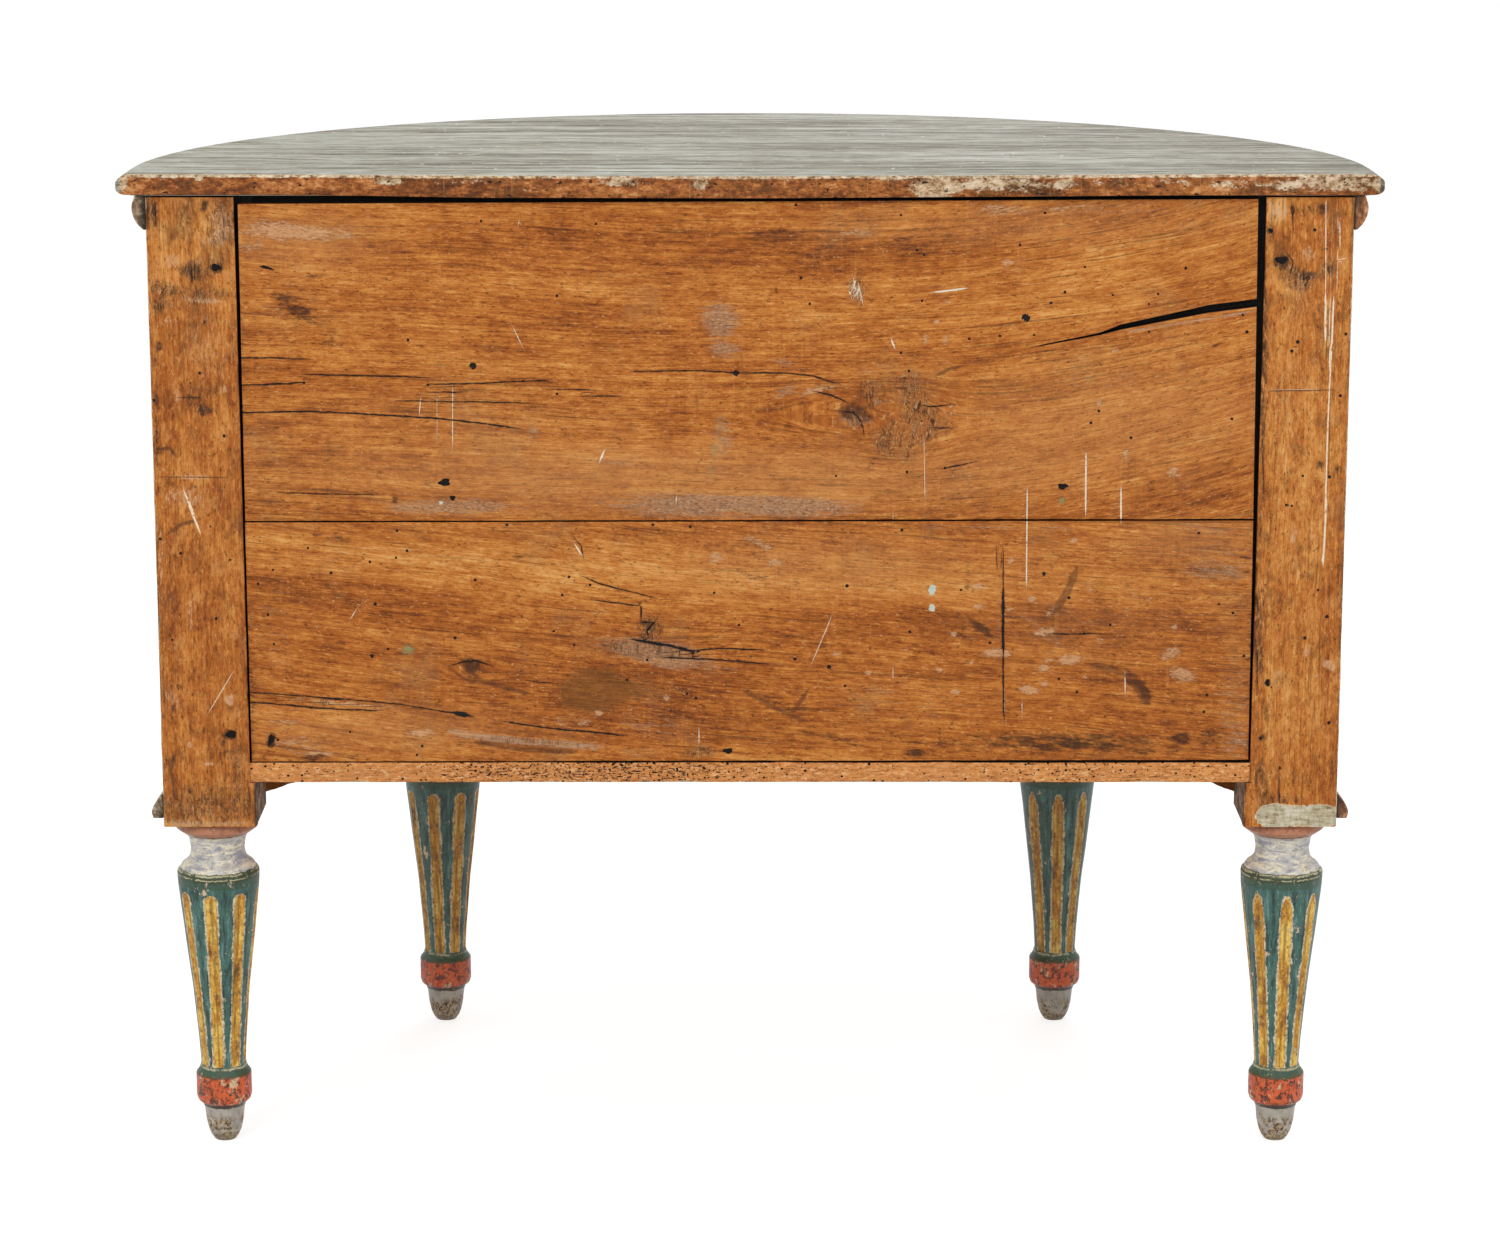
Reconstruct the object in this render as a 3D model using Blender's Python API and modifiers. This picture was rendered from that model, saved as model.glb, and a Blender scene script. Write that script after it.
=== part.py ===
"""Half-round chest of two drawers on four turned and fluted legs.

Metres. X runs to the right of someone who faces the chest, its front faces -Y,
Z is up, and the origin lies on the floor under the middle of the top.
"""

import math

import bmesh
import bpy
from mathutils import Matrix, Vector

COLLECTION_NAME = "demilune_chest"

# The top, and the plan that the whole body follows
TOP_WIDTH = 1.120
TOP_DEPTH = 0.588
HEIGHT = 0.909
TOP_THICKNESS = 0.020
TOP_OVERHANG = 0.025
TOP_REAR_OVERHANG = 0.006
NOSING_RADIUS = 0.007
PLAN_POWER = 2.06

# Gaps
FIT = 0.0003
MERGE_DISTANCE = 0.00003
OVERRUN = 0.008
DRAWER_SIDE_GAP = 0.0015
DRAWER_TOP_GAP = 0.0020
DRAWER_REAR_GAP = 0.012
BACK_BOARD_END_GAP = 0.0035
BACK_BOARD_TOP_GAP = 0.0035
BACK_BOARD_JOINT_GAP = 0.0012

# Posts
REAR_POST_WIDTH = 0.093
REAR_POST_DEPTH = 0.085
SIDE_BAY_SPAN = 0.169
FRONT_POST_SPREAD = 0.098
FRONT_POST_DEPTH = 0.080
RABBET_WIDTH = 0.013
RABBET_DEPTH = 0.014
FOOT_STEP = 0.0087

# Legs
LEG_HEIGHT = 0.312
LEG_RADIUS = 0.038
REAR_LEG_SIDE_INSET = 0.0435
REAR_LEG_INSET = 0.0425
FRONT_LEG_SIDE_INSET = 0.042
FRONT_LEG_INSET = 0.0376
TENON_RADIUS = 0.015
TENON_LENGTH = 0.036
FLUTE_COUNT = 8
FLUTE_TOP_RADIUS = 0.0068
FLUTE_FOOT_RADIUS = 0.0046
FLUTE_DEPTH = 0.0024

# Direction of one flute of each leg, in degrees about Z
LEG_TURNS = {
    "rear_right": 84.4,
    "rear_left": 92.2,
    "front_right": 77.7,
    "front_left": 88.5,
}

# Carcass
POST_DROP = 0.0415
BOTTOM_RAIL_HEIGHT = 0.033
BOTTOM_BOARD_THICKNESS = 0.0188
TOP_RAIL_HEIGHT = 0.035
MID_RAIL_THICKNESS = 0.025
UPPER_OPENING_HEIGHT = 0.217
FRONT_RAIL_DEPTH = 0.120
BOARD_LEDGE = 0.015
SIDE_RAIL_DEPTH = 0.074
PANEL_RECESS = 0.004
PANEL_THICKNESS = 0.018
BACK_BOARD_THICKNESS = 0.011
LOWER_BACK_BOARD_HEIGHT = 0.2226
REAR_RAIL_THICKNESS = 0.022
RUNNER_WIDTH = 0.053
RUNNER_BEARING = 0.023
GUIDE_HEIGHT = 0.030
STOP_WIDTH = 0.030
STOP_LENGTH = 0.020
STOP_HEIGHT = 0.006
STOP_GAP = 0.0012

# Mouldings
CORNICE_HEIGHT = 0.030
CORNICE_PROJECTION = 0.0126
BASE_MOULDING_HEIGHT = 0.022
BASE_MOULDING_PROJECTION = 0.0107

# Drawers
DRAWER_FRONT_THICKNESS = 0.022
DRAWER_SIDE_THICKNESS = 0.012
DRAWER_BACK_THICKNESS = 0.012
DRAWER_SIDE_DROP = 0.006
DRAWER_BOTTOM_THICKNESS = 0.008
DRAWER_BOTTOM_LIFT = 0.010
GROOVE_DEPTH = 0.004
DOVETAIL_PITCH = 0.070
DOVETAIL_HEIGHT = 0.040
DOVETAIL_FLARE = 0.003
DOVETAIL_LAP = 0.007
KNOB_INSET = 0.118
KNOB_RADIUS = 0.015
KNOB_PROJECTION = 0.026
KNOB_SHANK_RADIUS = 0.003
KNOB_NUT_RADIUS = 0.007
KNOB_NUT_THICKNESS = 0.004

# How finely the round forms are divided
SIDE_STEPS = 7
POST_STEPS = 3
FRONT_STEPS = 12
LEG_STEPS = 24
KNOB_STEPS = 12
PROFILE_RESOLUTION = 2
FLUTE_PATH_STEPS = 4
NOSING_SEGMENTS = 2

# Leg below its tenon, from the shoulder to the floor, as shares of the
# leg's radius and of its height
LEG_PROFILE_SHARES = (
    (0.950, 1.000),
    (1.000, 0.980),
    (0.900, 0.960),
    (0.710, 0.944),
    (0.655, 0.907),
    (0.705, 0.877),
    (0.860, 0.859),
    (0.905, 0.848),
    (0.985, 0.843),
    (1.000, 0.826),
    (0.985, 0.795),
    (0.848, 0.641),
    (0.695, 0.481),
    (0.584, 0.321),
    (0.547, 0.242),
    (0.592, 0.224),
    (0.679, 0.210),
    (0.679, 0.141),
    (0.645, 0.127),
    (0.535, 0.116),
    (0.490, 0.100),
    (0.450, 0.056),
    (0.385, 0.022),
    (0.270, 0.000),
)
FLUTE_TOP_SHARE = 0.767
FLUTE_FOOT_SHARE = 0.252
FLUTE_NOSE_SHARE = 0.35

# Moulding sections, as shares of projection and height, with True where
# the section is round
CORNICE_SHARES = (
    (0.00, 0.00, False),
    (0.20, 0.02, False),
    (0.74, 0.26, True),
    (1.00, 0.66, True),
    (0.72, 1.00, False),
    (0.00, 1.00, False),
)
BASE_MOULDING_SHARES = (
    (0.00, 0.00, False),
    (0.82, 0.00, False),
    (1.00, 0.30, True),
    (0.66, 0.66, True),
    (0.10, 1.00, False),
    (0.00, 1.00, False),
)

# Knob outside the drawer front, from its tip to its rose, as shares of its
# radius and projection
KNOB_SHARES = (
    (0.50, 0.97),
    (0.88, 0.84),
    (1.00, 0.66),
    (0.80, 0.47),
    (0.42, 0.36),
    (0.38, 0.20),
    (0.86, 0.10),
    (0.92, 0.00),
)

# Places that follow from the sizes above
TOP_UNDERSIDE = HEIGHT - TOP_THICKNESS
REAR_Y = TOP_DEPTH / 2 - TOP_REAR_OVERHANG
BODY_HALF_WIDTH = TOP_WIDTH / 2 - TOP_OVERHANG
BODY_DEPTH = TOP_DEPTH - TOP_REAR_OVERHANG - TOP_OVERHANG
FRONT_POST_OUTER_X = BODY_HALF_WIDTH - SIDE_BAY_SPAN
OPENING_HALF = FRONT_POST_OUTER_X - FRONT_POST_SPREAD
KNOB_X = OPENING_HALF - KNOB_INSET
REAR_POST_INNER_X = BODY_HALF_WIDTH - REAR_POST_WIDTH
REAR_POST_FRONT_Y = REAR_Y - REAR_POST_DEPTH
LEDGE_Y = REAR_Y - RABBET_DEPTH
BACK_BOARD_HALF = REAR_POST_INNER_X + RABBET_WIDTH - BACK_BOARD_END_GAP
BACK_BOARD_REAR_Y = LEDGE_Y + FIT + BACK_BOARD_THICKNESS
BOARD_UNDERSIDE = LEG_HEIGHT + POST_DROP
LOWER_FLOOR = BOARD_UNDERSIDE + BOTTOM_BOARD_THICKNESS
BOTTOM_RAIL_UNDERSIDE = BOARD_UNDERSIDE - BOTTOM_RAIL_HEIGHT
UPPER_CEILING = TOP_UNDERSIDE - TOP_RAIL_HEIGHT
UPPER_FLOOR = UPPER_CEILING - UPPER_OPENING_HEIGHT
LOWER_CEILING = UPPER_FLOOR - MID_RAIL_THICKNESS
FRONT_APEX_Y = REAR_Y - BODY_DEPTH
RAIL_INNER_Y = FRONT_APEX_Y + FRONT_RAIL_DEPTH
DRAWER_HALF = OPENING_HALF - DRAWER_SIDE_GAP
DRAWER_INNER_HALF = DRAWER_HALF - DRAWER_SIDE_THICKNESS
DRAWER_REAR_Y = LEDGE_Y - DRAWER_REAR_GAP


def plan_point(angle, offset=0.0):
    """Point of the body's plan, counted from its right end round to its left end."""
    across = abs(math.cos(angle)) ** (2 / PLAN_POWER)
    forward = max(math.sin(angle), 0.0) ** (2 / PLAN_POWER)
    x = math.copysign((BODY_HALF_WIDTH + offset) * across, math.cos(angle))
    return (x, REAR_Y - (BODY_DEPTH + offset) * forward)


def angle_at_x(x, offset=0.0):
    """Angle at which the right half of the plan reaches x."""
    return math.acos((x / (BODY_HALF_WIDTH + offset)) ** (PLAN_POWER / 2))


def angle_at_y(y, offset=0.0):
    """Angle at which the right half of the plan reaches y."""
    return math.asin(((REAR_Y - y) / (BODY_DEPTH + offset)) ** (PLAN_POWER / 2))


def spread(first, last, steps):
    """Evenly spaced values from the first to the last."""
    return [first + (last - first) * step / steps for step in range(steps + 1)]


REAR_POST_ANGLE = angle_at_y(REAR_POST_FRONT_Y)
POST_OUTER_ANGLE = angle_at_x(FRONT_POST_OUTER_X)
OPENING_ANGLE = angle_at_x(OPENING_HALF)
SIDE_ANGLES = spread(REAR_POST_ANGLE, POST_OUTER_ANGLE, SIDE_STEPS)
POST_ANGLES = spread(POST_OUTER_ANGLE, OPENING_ANGLE, POST_STEPS)
FRONT_ANGLES = spread(OPENING_ANGLE, math.pi - OPENING_ANGLE, FRONT_STEPS)
POST_BACK_Y = plan_point(POST_OUTER_ANGLE, -FRONT_POST_DEPTH)[1]


def side_run(offset, clearance):
    """Plan points between a rear post and a front post, on the right side."""
    first = angle_at_y(REAR_POST_FRONT_Y - clearance, offset)
    last = POST_OUTER_ANGLE - clearance / (BODY_HALF_WIDTH + offset)
    angles = [first] + SIDE_ANGLES[1:-1] + [last]
    return [plan_point(angle, offset) for angle in angles]


def front_run(half_width, offset=0.0):
    """Plan points across the front bay, from right to left, out to a half width."""
    first = angle_at_x(half_width, offset)
    angles = [first] + FRONT_ANGLES[1:-1] + [math.pi - first]
    return [plan_point(angle, offset) for angle in angles]


def mirrored(points, side):
    """Points of the right side, taken to the left where side is -1."""
    return [(side * x, y) for x, y in points]


def material(name, colour, roughness, metallic=0.0):
    """Principled surface of one colour."""
    made = bpy.data.materials.new(name)
    made.use_nodes = True
    shader = made.node_tree.nodes["Principled BSDF"]
    shader.inputs["Base Color"].default_value = (*colour, 1.0)
    shader.inputs["Roughness"].default_value = roughness
    shader.inputs["Metallic"].default_value = metallic
    made.diffuse_color = (*colour, 1.0)
    return made


def smooth(mesh):
    """Smooth shading that keeps the corners sharp."""
    mesh.shade_smooth()
    mesh.set_sharp_from_angle(angle=math.radians(30))


def place(name, mesh, finish, location=(0.0, 0.0, 0.0)):
    """Object of the chest with its finish."""
    piece = bpy.data.objects.new(name, mesh)
    piece.location = location
    mesh.materials.append(finish)
    PARTS.objects.link(piece)
    return piece


def as_cutter(piece):
    """Turns a piece into a guide that only cuts others."""
    PARTS.objects.unlink(piece)
    CUTTERS.objects.link(piece)
    piece.hide_render = True
    piece.display_type = "WIRE"
    return piece


def cut(piece, cutter):
    """Takes a cutter's volume out of a piece."""
    modifier = piece.modifiers.new(cutter.name, "BOOLEAN")
    modifier.operation = "DIFFERENCE"
    modifier.solver = "EXACT"
    modifier.object = cutter


def mesh_from_curve(guide):
    """Closed mesh of a curve object, which is removed."""
    bpy.context.view_layer.update()
    evaluated = guide.evaluated_get(bpy.context.evaluated_depsgraph_get())
    mesh = bpy.data.meshes.new_from_object(evaluated)
    shape = bmesh.new()
    shape.from_mesh(mesh)
    bmesh.ops.remove_doubles(shape, verts=shape.verts, dist=MERGE_DISTANCE)
    bmesh.ops.recalc_face_normals(shape, faces=shape.faces)
    shape.to_mesh(mesh)
    shape.free()
    mesh.materials.clear()
    bpy.data.objects.remove(guide)
    return mesh


def guide_curve(name, points, closed, flat):
    """Curve object of one straight-edged spline."""
    curve = bpy.data.curves.new(name, "CURVE")
    curve.dimensions = "2D" if flat else "3D"
    spline = curve.splines.new("POLY")
    spline.points.add(len(points) - 1)
    for target, point in zip(spline.points, points):
        target.co.xyz = point
    spline.use_cyclic_u = closed
    guide = bpy.data.objects.new(name, curve)
    PARTS.objects.link(guide)
    return guide


def slab(name, outline, bottom, top, finish):
    """Board of a flat outline, between two heights."""
    guide = guide_curve(name, [(x, y, 0.0) for x, y in outline], True, True)
    guide.data.fill_mode = "BOTH"
    guide.data.extrude = (top - bottom) / 2
    mesh = mesh_from_curve(guide)
    smooth(mesh)
    return place(name, mesh, finish, (0.0, 0.0, (top + bottom) / 2))


def box(name, low, high, finish):
    """Square block between two corners."""
    shape = bmesh.new()
    bmesh.ops.create_cube(shape, size=1.0)
    size = [upper - lower for lower, upper in zip(low, high)]
    bmesh.ops.scale(shape, vec=size, verts=shape.verts)
    mesh = bpy.data.meshes.new(name)
    shape.to_mesh(mesh)
    shape.free()
    middle = [(upper + lower) / 2 for lower, upper in zip(low, high)]
    return place(name, mesh, finish, middle)


def side_box(name, side, low, high, finish):
    """Square block given on the right side, or its twin on the left."""
    ends = sorted((side * low[0], side * high[0]))
    return box(name, (ends[0], *low[1:]), (ends[1], *high[1:]), finish)


def cylinder(name, radius, bottom, top, centre, finish):
    """Upright cylinder between two heights."""
    shape = bmesh.new()
    bmesh.ops.create_cone(
        shape, cap_ends=True, segments=LEG_STEPS,
        radius1=radius, radius2=radius, depth=top - bottom)
    mesh = bpy.data.meshes.new(name)
    shape.to_mesh(mesh)
    shape.free()
    return place(name, mesh, finish, (*centre, (top + bottom) / 2))


def turned(name, profile, steps, finish):
    """Solid of a profile of radii and heights, turned round its own Z axis."""
    mesh = bpy.data.meshes.new(name)
    points = [(radius, 0.0, height) for radius, height in profile]
    edges = [(index, index + 1) for index in range(len(points) - 1)]
    mesh.from_pydata(points, edges, [])
    piece = place(name, mesh, finish)
    screw = piece.modifiers.new("turning", "SCREW")
    screw.axis = "Z"
    screw.steps = steps
    screw.render_steps = steps
    screw.use_merge_vertices = True
    screw.merge_threshold = MERGE_DISTANCE
    screw.use_smooth_shade = True
    return piece


def carried(parent, pieces):
    """Pieces that move with a parent, left where they are."""
    for piece in pieces:
        piece.parent = parent
        piece.matrix_parent_inverse = Matrix.Translation(-parent.location)


def front_leg_axis():
    """Plan place of the right front leg's axis."""
    angle = angle_at_x(OPENING_HALF + FRONT_LEG_SIDE_INSET, -FRONT_LEG_INSET)
    return plan_point(angle, -FRONT_LEG_INSET)


def rear_leg_axis():
    """Plan place of the right rear leg's axis."""
    return (BODY_HALF_WIDTH - REAR_LEG_SIDE_INSET, REAR_Y - REAR_LEG_INSET)


def top_board(finish):
    """Top with a nosing round its curve and a square edge at the rear."""
    run = [plan_point(angle, TOP_OVERHANG) for angle in top_angles()]
    rear = REAR_Y + TOP_REAR_OVERHANG
    outline = [(run[0][0], rear)] + run + [(run[-1][0], rear)]
    piece = slab("top_board", outline, TOP_UNDERSIDE, HEIGHT, finish)
    round_front_edges(piece, rear)
    bevel = piece.modifiers.new("nosing", "BEVEL")
    bevel.width = NOSING_RADIUS
    bevel.segments = NOSING_SEGMENTS
    bevel.limit_method = "WEIGHT"
    return piece


def top_angles():
    """All the divisions of the plan, from its right end to its left end."""
    right = [0.0] + SIDE_ANGLES + POST_ANGLES[1:]
    left = [math.pi - angle for angle in reversed(right)]
    return right + FRONT_ANGLES[1:-1] + left


def round_front_edges(piece, rear):
    """Marks the rims of the top for rounding, except along its rear edge."""
    shape = bmesh.new()
    shape.from_mesh(piece.data)
    weight = shape.edges.layers.float.new("bevel_weight_edge")
    for edge in shape.edges:
        flat = {abs(face.normal.z) > 0.5 for face in edge.link_faces}
        curved = any(vert.co.y < rear - FIT for vert in edge.verts)
        edge[weight] = float(len(flat) == 2 and curved)
    shape.to_mesh(piece.data)
    shape.free()


def rear_post(side, word, pine, bore):
    """Rear post, rabbeted for the boards and stepped back under the bottom board."""
    outline = [
        (REAR_POST_INNER_X, REAR_Y),
        plan_point(0.0),
        plan_point(REAR_POST_ANGLE),
        (REAR_POST_INNER_X, REAR_POST_FRONT_Y),
    ]
    name = f"rear_post_{word}"
    piece = slab(name, mirrored(outline, side), LEG_HEIGHT, TOP_UNDERSIDE - FIT, pine)
    low = (REAR_POST_INNER_X - OVERRUN, LEDGE_Y, BOARD_UNDERSIDE - FIT)
    high = (REAR_POST_INNER_X + RABBET_WIDTH, REAR_Y + OVERRUN, HEIGHT)
    cut(piece, as_cutter(side_box(f"{name}_rabbet", side, low, high, pine)))
    low = (REAR_POST_INNER_X - OVERRUN, REAR_POST_FRONT_Y - OVERRUN, LEG_HEIGHT - OVERRUN)
    high = (REAR_POST_INNER_X + FOOT_STEP, REAR_Y + OVERRUN, BOARD_UNDERSIDE - FIT)
    cut(piece, as_cutter(side_box(f"{name}_step", side, low, high, pine)))
    cut(piece, bore)
    return piece


def front_post(side, word, pine, bore):
    """Front post: its face follows the plan and its inner side runs straight back."""
    run = [plan_point(angle) for angle in POST_ANGLES]
    back = plan_point(POST_OUTER_ANGLE, -FRONT_POST_DEPTH)
    outline = run + [(OPENING_HALF, POST_BACK_Y), back]
    name = f"front_post_{word}"
    piece = slab(name, mirrored(outline, side), LEG_HEIGHT, TOP_UNDERSIDE - FIT, pine)
    cut(piece, bore)
    return piece


def tenon_bore(name, axis, finish):
    """Hole in the foot of a post for its leg's tenon."""
    top = LEG_HEIGHT + TENON_LENGTH
    radius = TENON_RADIUS + FIT
    hole = cylinder(f"{name}_bore", radius, LEG_HEIGHT - OVERRUN, top, axis, finish)
    return as_cutter(hole)


def leg_profile():
    """Radii and heights of a leg, from the top of its tenon to the floor."""
    shoulder = LEG_HEIGHT - FIT
    tenon_top = LEG_HEIGHT + TENON_LENGTH - FIT
    body = [(radius * LEG_RADIUS, share * shoulder) for radius, share in LEG_PROFILE_SHARES]
    tenon = [(0.0, tenon_top), (TENON_RADIUS, tenon_top), (TENON_RADIUS, shoulder)]
    return tenon + body + [(0.0, 0.0)]


def leg_radius(height):
    """Radius of the turned leg at a height between two points of its profile."""
    profile = leg_profile()
    for (upper_radius, upper), (lower_radius, lower) in zip(profile, profile[1:]):
        if lower <= height <= upper and upper > lower:
            share = (height - lower) / (upper - lower)
            return lower_radius + (upper_radius - lower_radius) * share
    return 0.0


def flute_cutters(finish):
    """Mesh of round-nosed cutters that follow the taper of a leg."""
    foot = FLUTE_FOOT_SHARE * LEG_HEIGHT
    heights = spread(foot, FLUTE_TOP_SHARE * LEG_HEIGHT, FLUTE_PATH_STEPS)
    radii = spread(FLUTE_FOOT_RADIUS, FLUTE_TOP_RADIUS, FLUTE_PATH_STEPS)
    centres = [leg_radius(height) + radius - FLUTE_DEPTH for height, radius in zip(heights, radii)]
    points = [(centre, 0.0, height) for centre, height in zip(centres, heights)]
    nose = (centres[-1] + FLUTE_DEPTH / 2, 0.0, heights[-1] + FLUTE_TOP_RADIUS)
    guide = guide_curve("flute", points + [nose], False, False)
    guide.data.bevel_depth = FLUTE_TOP_RADIUS
    guide.data.bevel_resolution = 1
    guide.data.use_fill_caps = True
    guide.data.twist_mode = "Z_UP"
    shares = [radius / FLUTE_TOP_RADIUS for radius in radii] + [FLUTE_NOSE_SHARE]
    for point, share in zip(guide.data.splines[0].points, shares):
        point.radius = share
    single = mesh_from_curve(guide)
    ring = bmesh.new()
    for index in range(FLUTE_COUNT):
        copy = single.copy()
        copy.transform(Matrix.Rotation(2 * math.pi * index / FLUTE_COUNT, 4, "Z"))
        ring.from_mesh(copy)
        bpy.data.meshes.remove(copy)
    ring.to_mesh(single)
    ring.free()
    return single


def leg(word, axis, flutes, paint):
    """Turned leg with a tenon at its head and flutes down its taper."""
    name = f"leg_{word}"
    piece = turned(name, leg_profile(), LEG_STEPS, paint)
    piece.location = (*axis, 0.0)
    piece.rotation_euler = (0.0, 0.0, math.radians(LEG_TURNS[word]))
    cutter = place(f"{name}_flutes", flutes, paint, piece.location)
    cutter.rotation_euler = piece.rotation_euler
    cut(piece, as_cutter(cutter))
    return piece


def bottom_board(pine):
    """Bottom board, let in round the four posts and lying on the rails."""
    inside = -(PANEL_RECESS + PANEL_THICKNESS + FIT)
    corner = plan_point(POST_OUTER_ANGLE - FIT / BODY_HALF_WIDTH, -FRONT_POST_DEPTH)
    front = RAIL_INNER_Y - BOARD_LEDGE + FIT
    right = [
        (BACK_BOARD_HALF, BACK_BOARD_REAR_Y),
        (BACK_BOARD_HALF, LEDGE_Y + FIT),
        (REAR_POST_INNER_X - FIT, LEDGE_Y + FIT),
        (REAR_POST_INNER_X - FIT, REAR_POST_FRONT_Y - FIT),
    ]
    right += side_run(inside, FIT)
    right += [
        (corner[0], POST_BACK_Y + FIT),
        (OPENING_HALF - FIT, POST_BACK_Y + FIT),
        (OPENING_HALF - FIT, front),
    ]
    outline = right + mirrored(reversed(right), -1)
    return slab("bottom_board", outline, BOARD_UNDERSIDE, LOWER_FLOOR, pine)


def front_rail(name, bottom, top, pine):
    """Rail across the front: bowed outside and straight inside."""
    run = front_run(OPENING_HALF - FIT)
    corner = (OPENING_HALF - FIT, RAIL_INNER_Y)
    outline = run + [(-corner[0], corner[1]), corner]
    return slab(name, outline, bottom, top, pine)


def front_rails(pine):
    """Top, middle and bottom rails, the last with a ledge for the bottom board."""
    front_rail("top_rail_front", UPPER_CEILING, TOP_UNDERSIDE - FIT, pine)
    front_rail("mid_rail_front", LOWER_CEILING, UPPER_FLOOR, pine)
    lowest = front_rail("bottom_rail_front", BOTTOM_RAIL_UNDERSIDE, LOWER_FLOOR, pine)
    low = (-OPENING_HALF - OVERRUN, RAIL_INNER_Y - BOARD_LEDGE, BOARD_UNDERSIDE - FIT)
    high = (OPENING_HALF + OVERRUN, RAIL_INNER_Y + OVERRUN, LOWER_FLOOR + OVERRUN)
    cut(lowest, as_cutter(box("bottom_rail_ledge", low, high, pine)))


def side_rail(name, side, bottom, top, pine):
    """Rail down one side: bowed outside and straight inside."""
    run = side_run(0.0, FIT)
    end = plan_point(POST_OUTER_ANGLE - FIT / BODY_HALF_WIDTH, -SIDE_RAIL_DEPTH)
    start = (run[0][0] - SIDE_RAIL_DEPTH, run[0][1])
    return slab(name, mirrored(run + [end, start], side), bottom, top, pine)


def side_panel(side, word, paint):
    """Curved panel between the posts, standing on the lower side rail."""
    outer = side_run(-PANEL_RECESS, FIT)
    inner = side_run(-PANEL_RECESS - PANEL_THICKNESS, FIT)
    outline = mirrored(outer + inner[::-1], side)
    return slab(f"side_panel_{word}", outline, BOARD_UNDERSIDE, UPPER_CEILING - FIT, paint)


def back_boards(pine):
    """Two boards that close the back between the rear posts."""
    low_y = LEDGE_Y + FIT
    joint = LOWER_FLOOR + LOWER_BACK_BOARD_HEIGHT
    heights = (
        ("back_board_lower", LOWER_FLOOR + FIT, joint),
        ("back_board_upper", joint + BACK_BOARD_JOINT_GAP, TOP_UNDERSIDE - BACK_BOARD_TOP_GAP),
    )
    for name, bottom, top in heights:
        low = (-BACK_BOARD_HALF, low_y, bottom)
        box(name, low, (BACK_BOARD_HALF, BACK_BOARD_REAR_Y, top), pine)


def rear_top_rail(pine):
    """Rail that ties the rear posts together under the top."""
    half = REAR_POST_INNER_X - FIT
    low = (-half, LEDGE_Y - REAR_RAIL_THICKNESS, UPPER_CEILING)
    box("rear_top_rail", low, (half, LEDGE_Y, TOP_UNDERSIDE - FIT), pine)


def runner(name, side, bottom, top, rear, pine):
    """Runner or kicker, notched round the front post and butted to the front rail."""
    inner = OPENING_HALF - RUNNER_BEARING
    outer = inner + RUNNER_WIDTH
    outline = [
        (inner, RAIL_INNER_Y + FIT),
        (OPENING_HALF - FIT, RAIL_INNER_Y + FIT),
        (OPENING_HALF - FIT, POST_BACK_Y + FIT),
        (outer, POST_BACK_Y + FIT),
        (outer, rear),
        (inner, rear),
    ]
    return slab(name, mirrored(outline, side), bottom, top, pine)


def guide(name, side, floor, pine):
    """Strip that keeps a drawer straight behind the front post."""
    outer = OPENING_HALF - RUNNER_BEARING + RUNNER_WIDTH
    low = (OPENING_HALF, POST_BACK_Y + FIT, floor + FIT)
    high = (outer, LEDGE_Y, floor + GUIDE_HEIGHT)
    return side_box(name, side, low, high, pine)


def drawer_stop(name, side, floor, pine):
    """Block on a front rail that meets the back of the drawer front."""
    offset = -DRAWER_FRONT_THICKNESS - STOP_GAP - STOP_LENGTH / 2
    angle = angle_at_x(KNOB_X, offset)
    x, y = plan_point(angle, offset)
    half_width = STOP_WIDTH / 2
    half_length = STOP_LENGTH / 2
    bottom = floor + FIT
    low = (-half_width, -half_length, bottom)
    piece = box(name, low, (half_width, half_length, bottom + STOP_HEIGHT), pine)
    piece.location.x = side * x
    piece.location.y = y
    piece.rotation_euler = (0.0, 0.0, side * plan_turn(angle, offset))
    return piece


def plan_turn(angle, offset=0.0):
    """Turn about Z from -Y to the plan's outward direction on the right side."""
    near = Vector(plan_point(angle, offset))
    outward = Vector(plan_point(angle, offset + FRONT_RAIL_DEPTH)) - near
    return math.atan2(outward.x, -outward.y)


def moulding_paths():
    """Plan points of the three lengths of a moulding, which meet at the front posts."""
    points = [plan_point(angle) for angle in top_angles()]
    joint = 1 + SIDE_STEPS + POST_STEPS // 2
    near = Vector(points[joint])
    far = Vector(points[joint + 1])
    middle = near.lerp(far, 0.5)
    gap = (far - near).normalized() * FIT
    right = [tuple(middle - gap)] + points[joint::-1]
    front_end = tuple(middle + gap)
    inner = points[joint + 1:len(points) - joint - 1]
    front = [(-front_end[0], front_end[1])] + inner[::-1] + [front_end]
    return {"right": right, "front": front, "left": mirrored(reversed(right), -1)}


def section(name, shares, projection, height):
    """Closed curve of a moulding's section, its back a hair off the body."""
    curve = bpy.data.curves.new(name, "CURVE")
    curve.dimensions = "2D"
    curve.resolution_u = PROFILE_RESOLUTION
    spline = curve.splines.new("BEZIER")
    spline.bezier_points.add(len(shares) - 1)
    for point, (out, up, rounded) in zip(spline.bezier_points, shares):
        point.co = (FIT + out * projection, up * height, 0.0)
        kind = "AUTO" if rounded else "VECTOR"
        point.handle_left_type = kind
        point.handle_right_type = kind
    spline.use_cyclic_u = True
    profile = bpy.data.objects.new(name, curve)
    PARTS.objects.link(profile)
    return as_cutter(profile)


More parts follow.
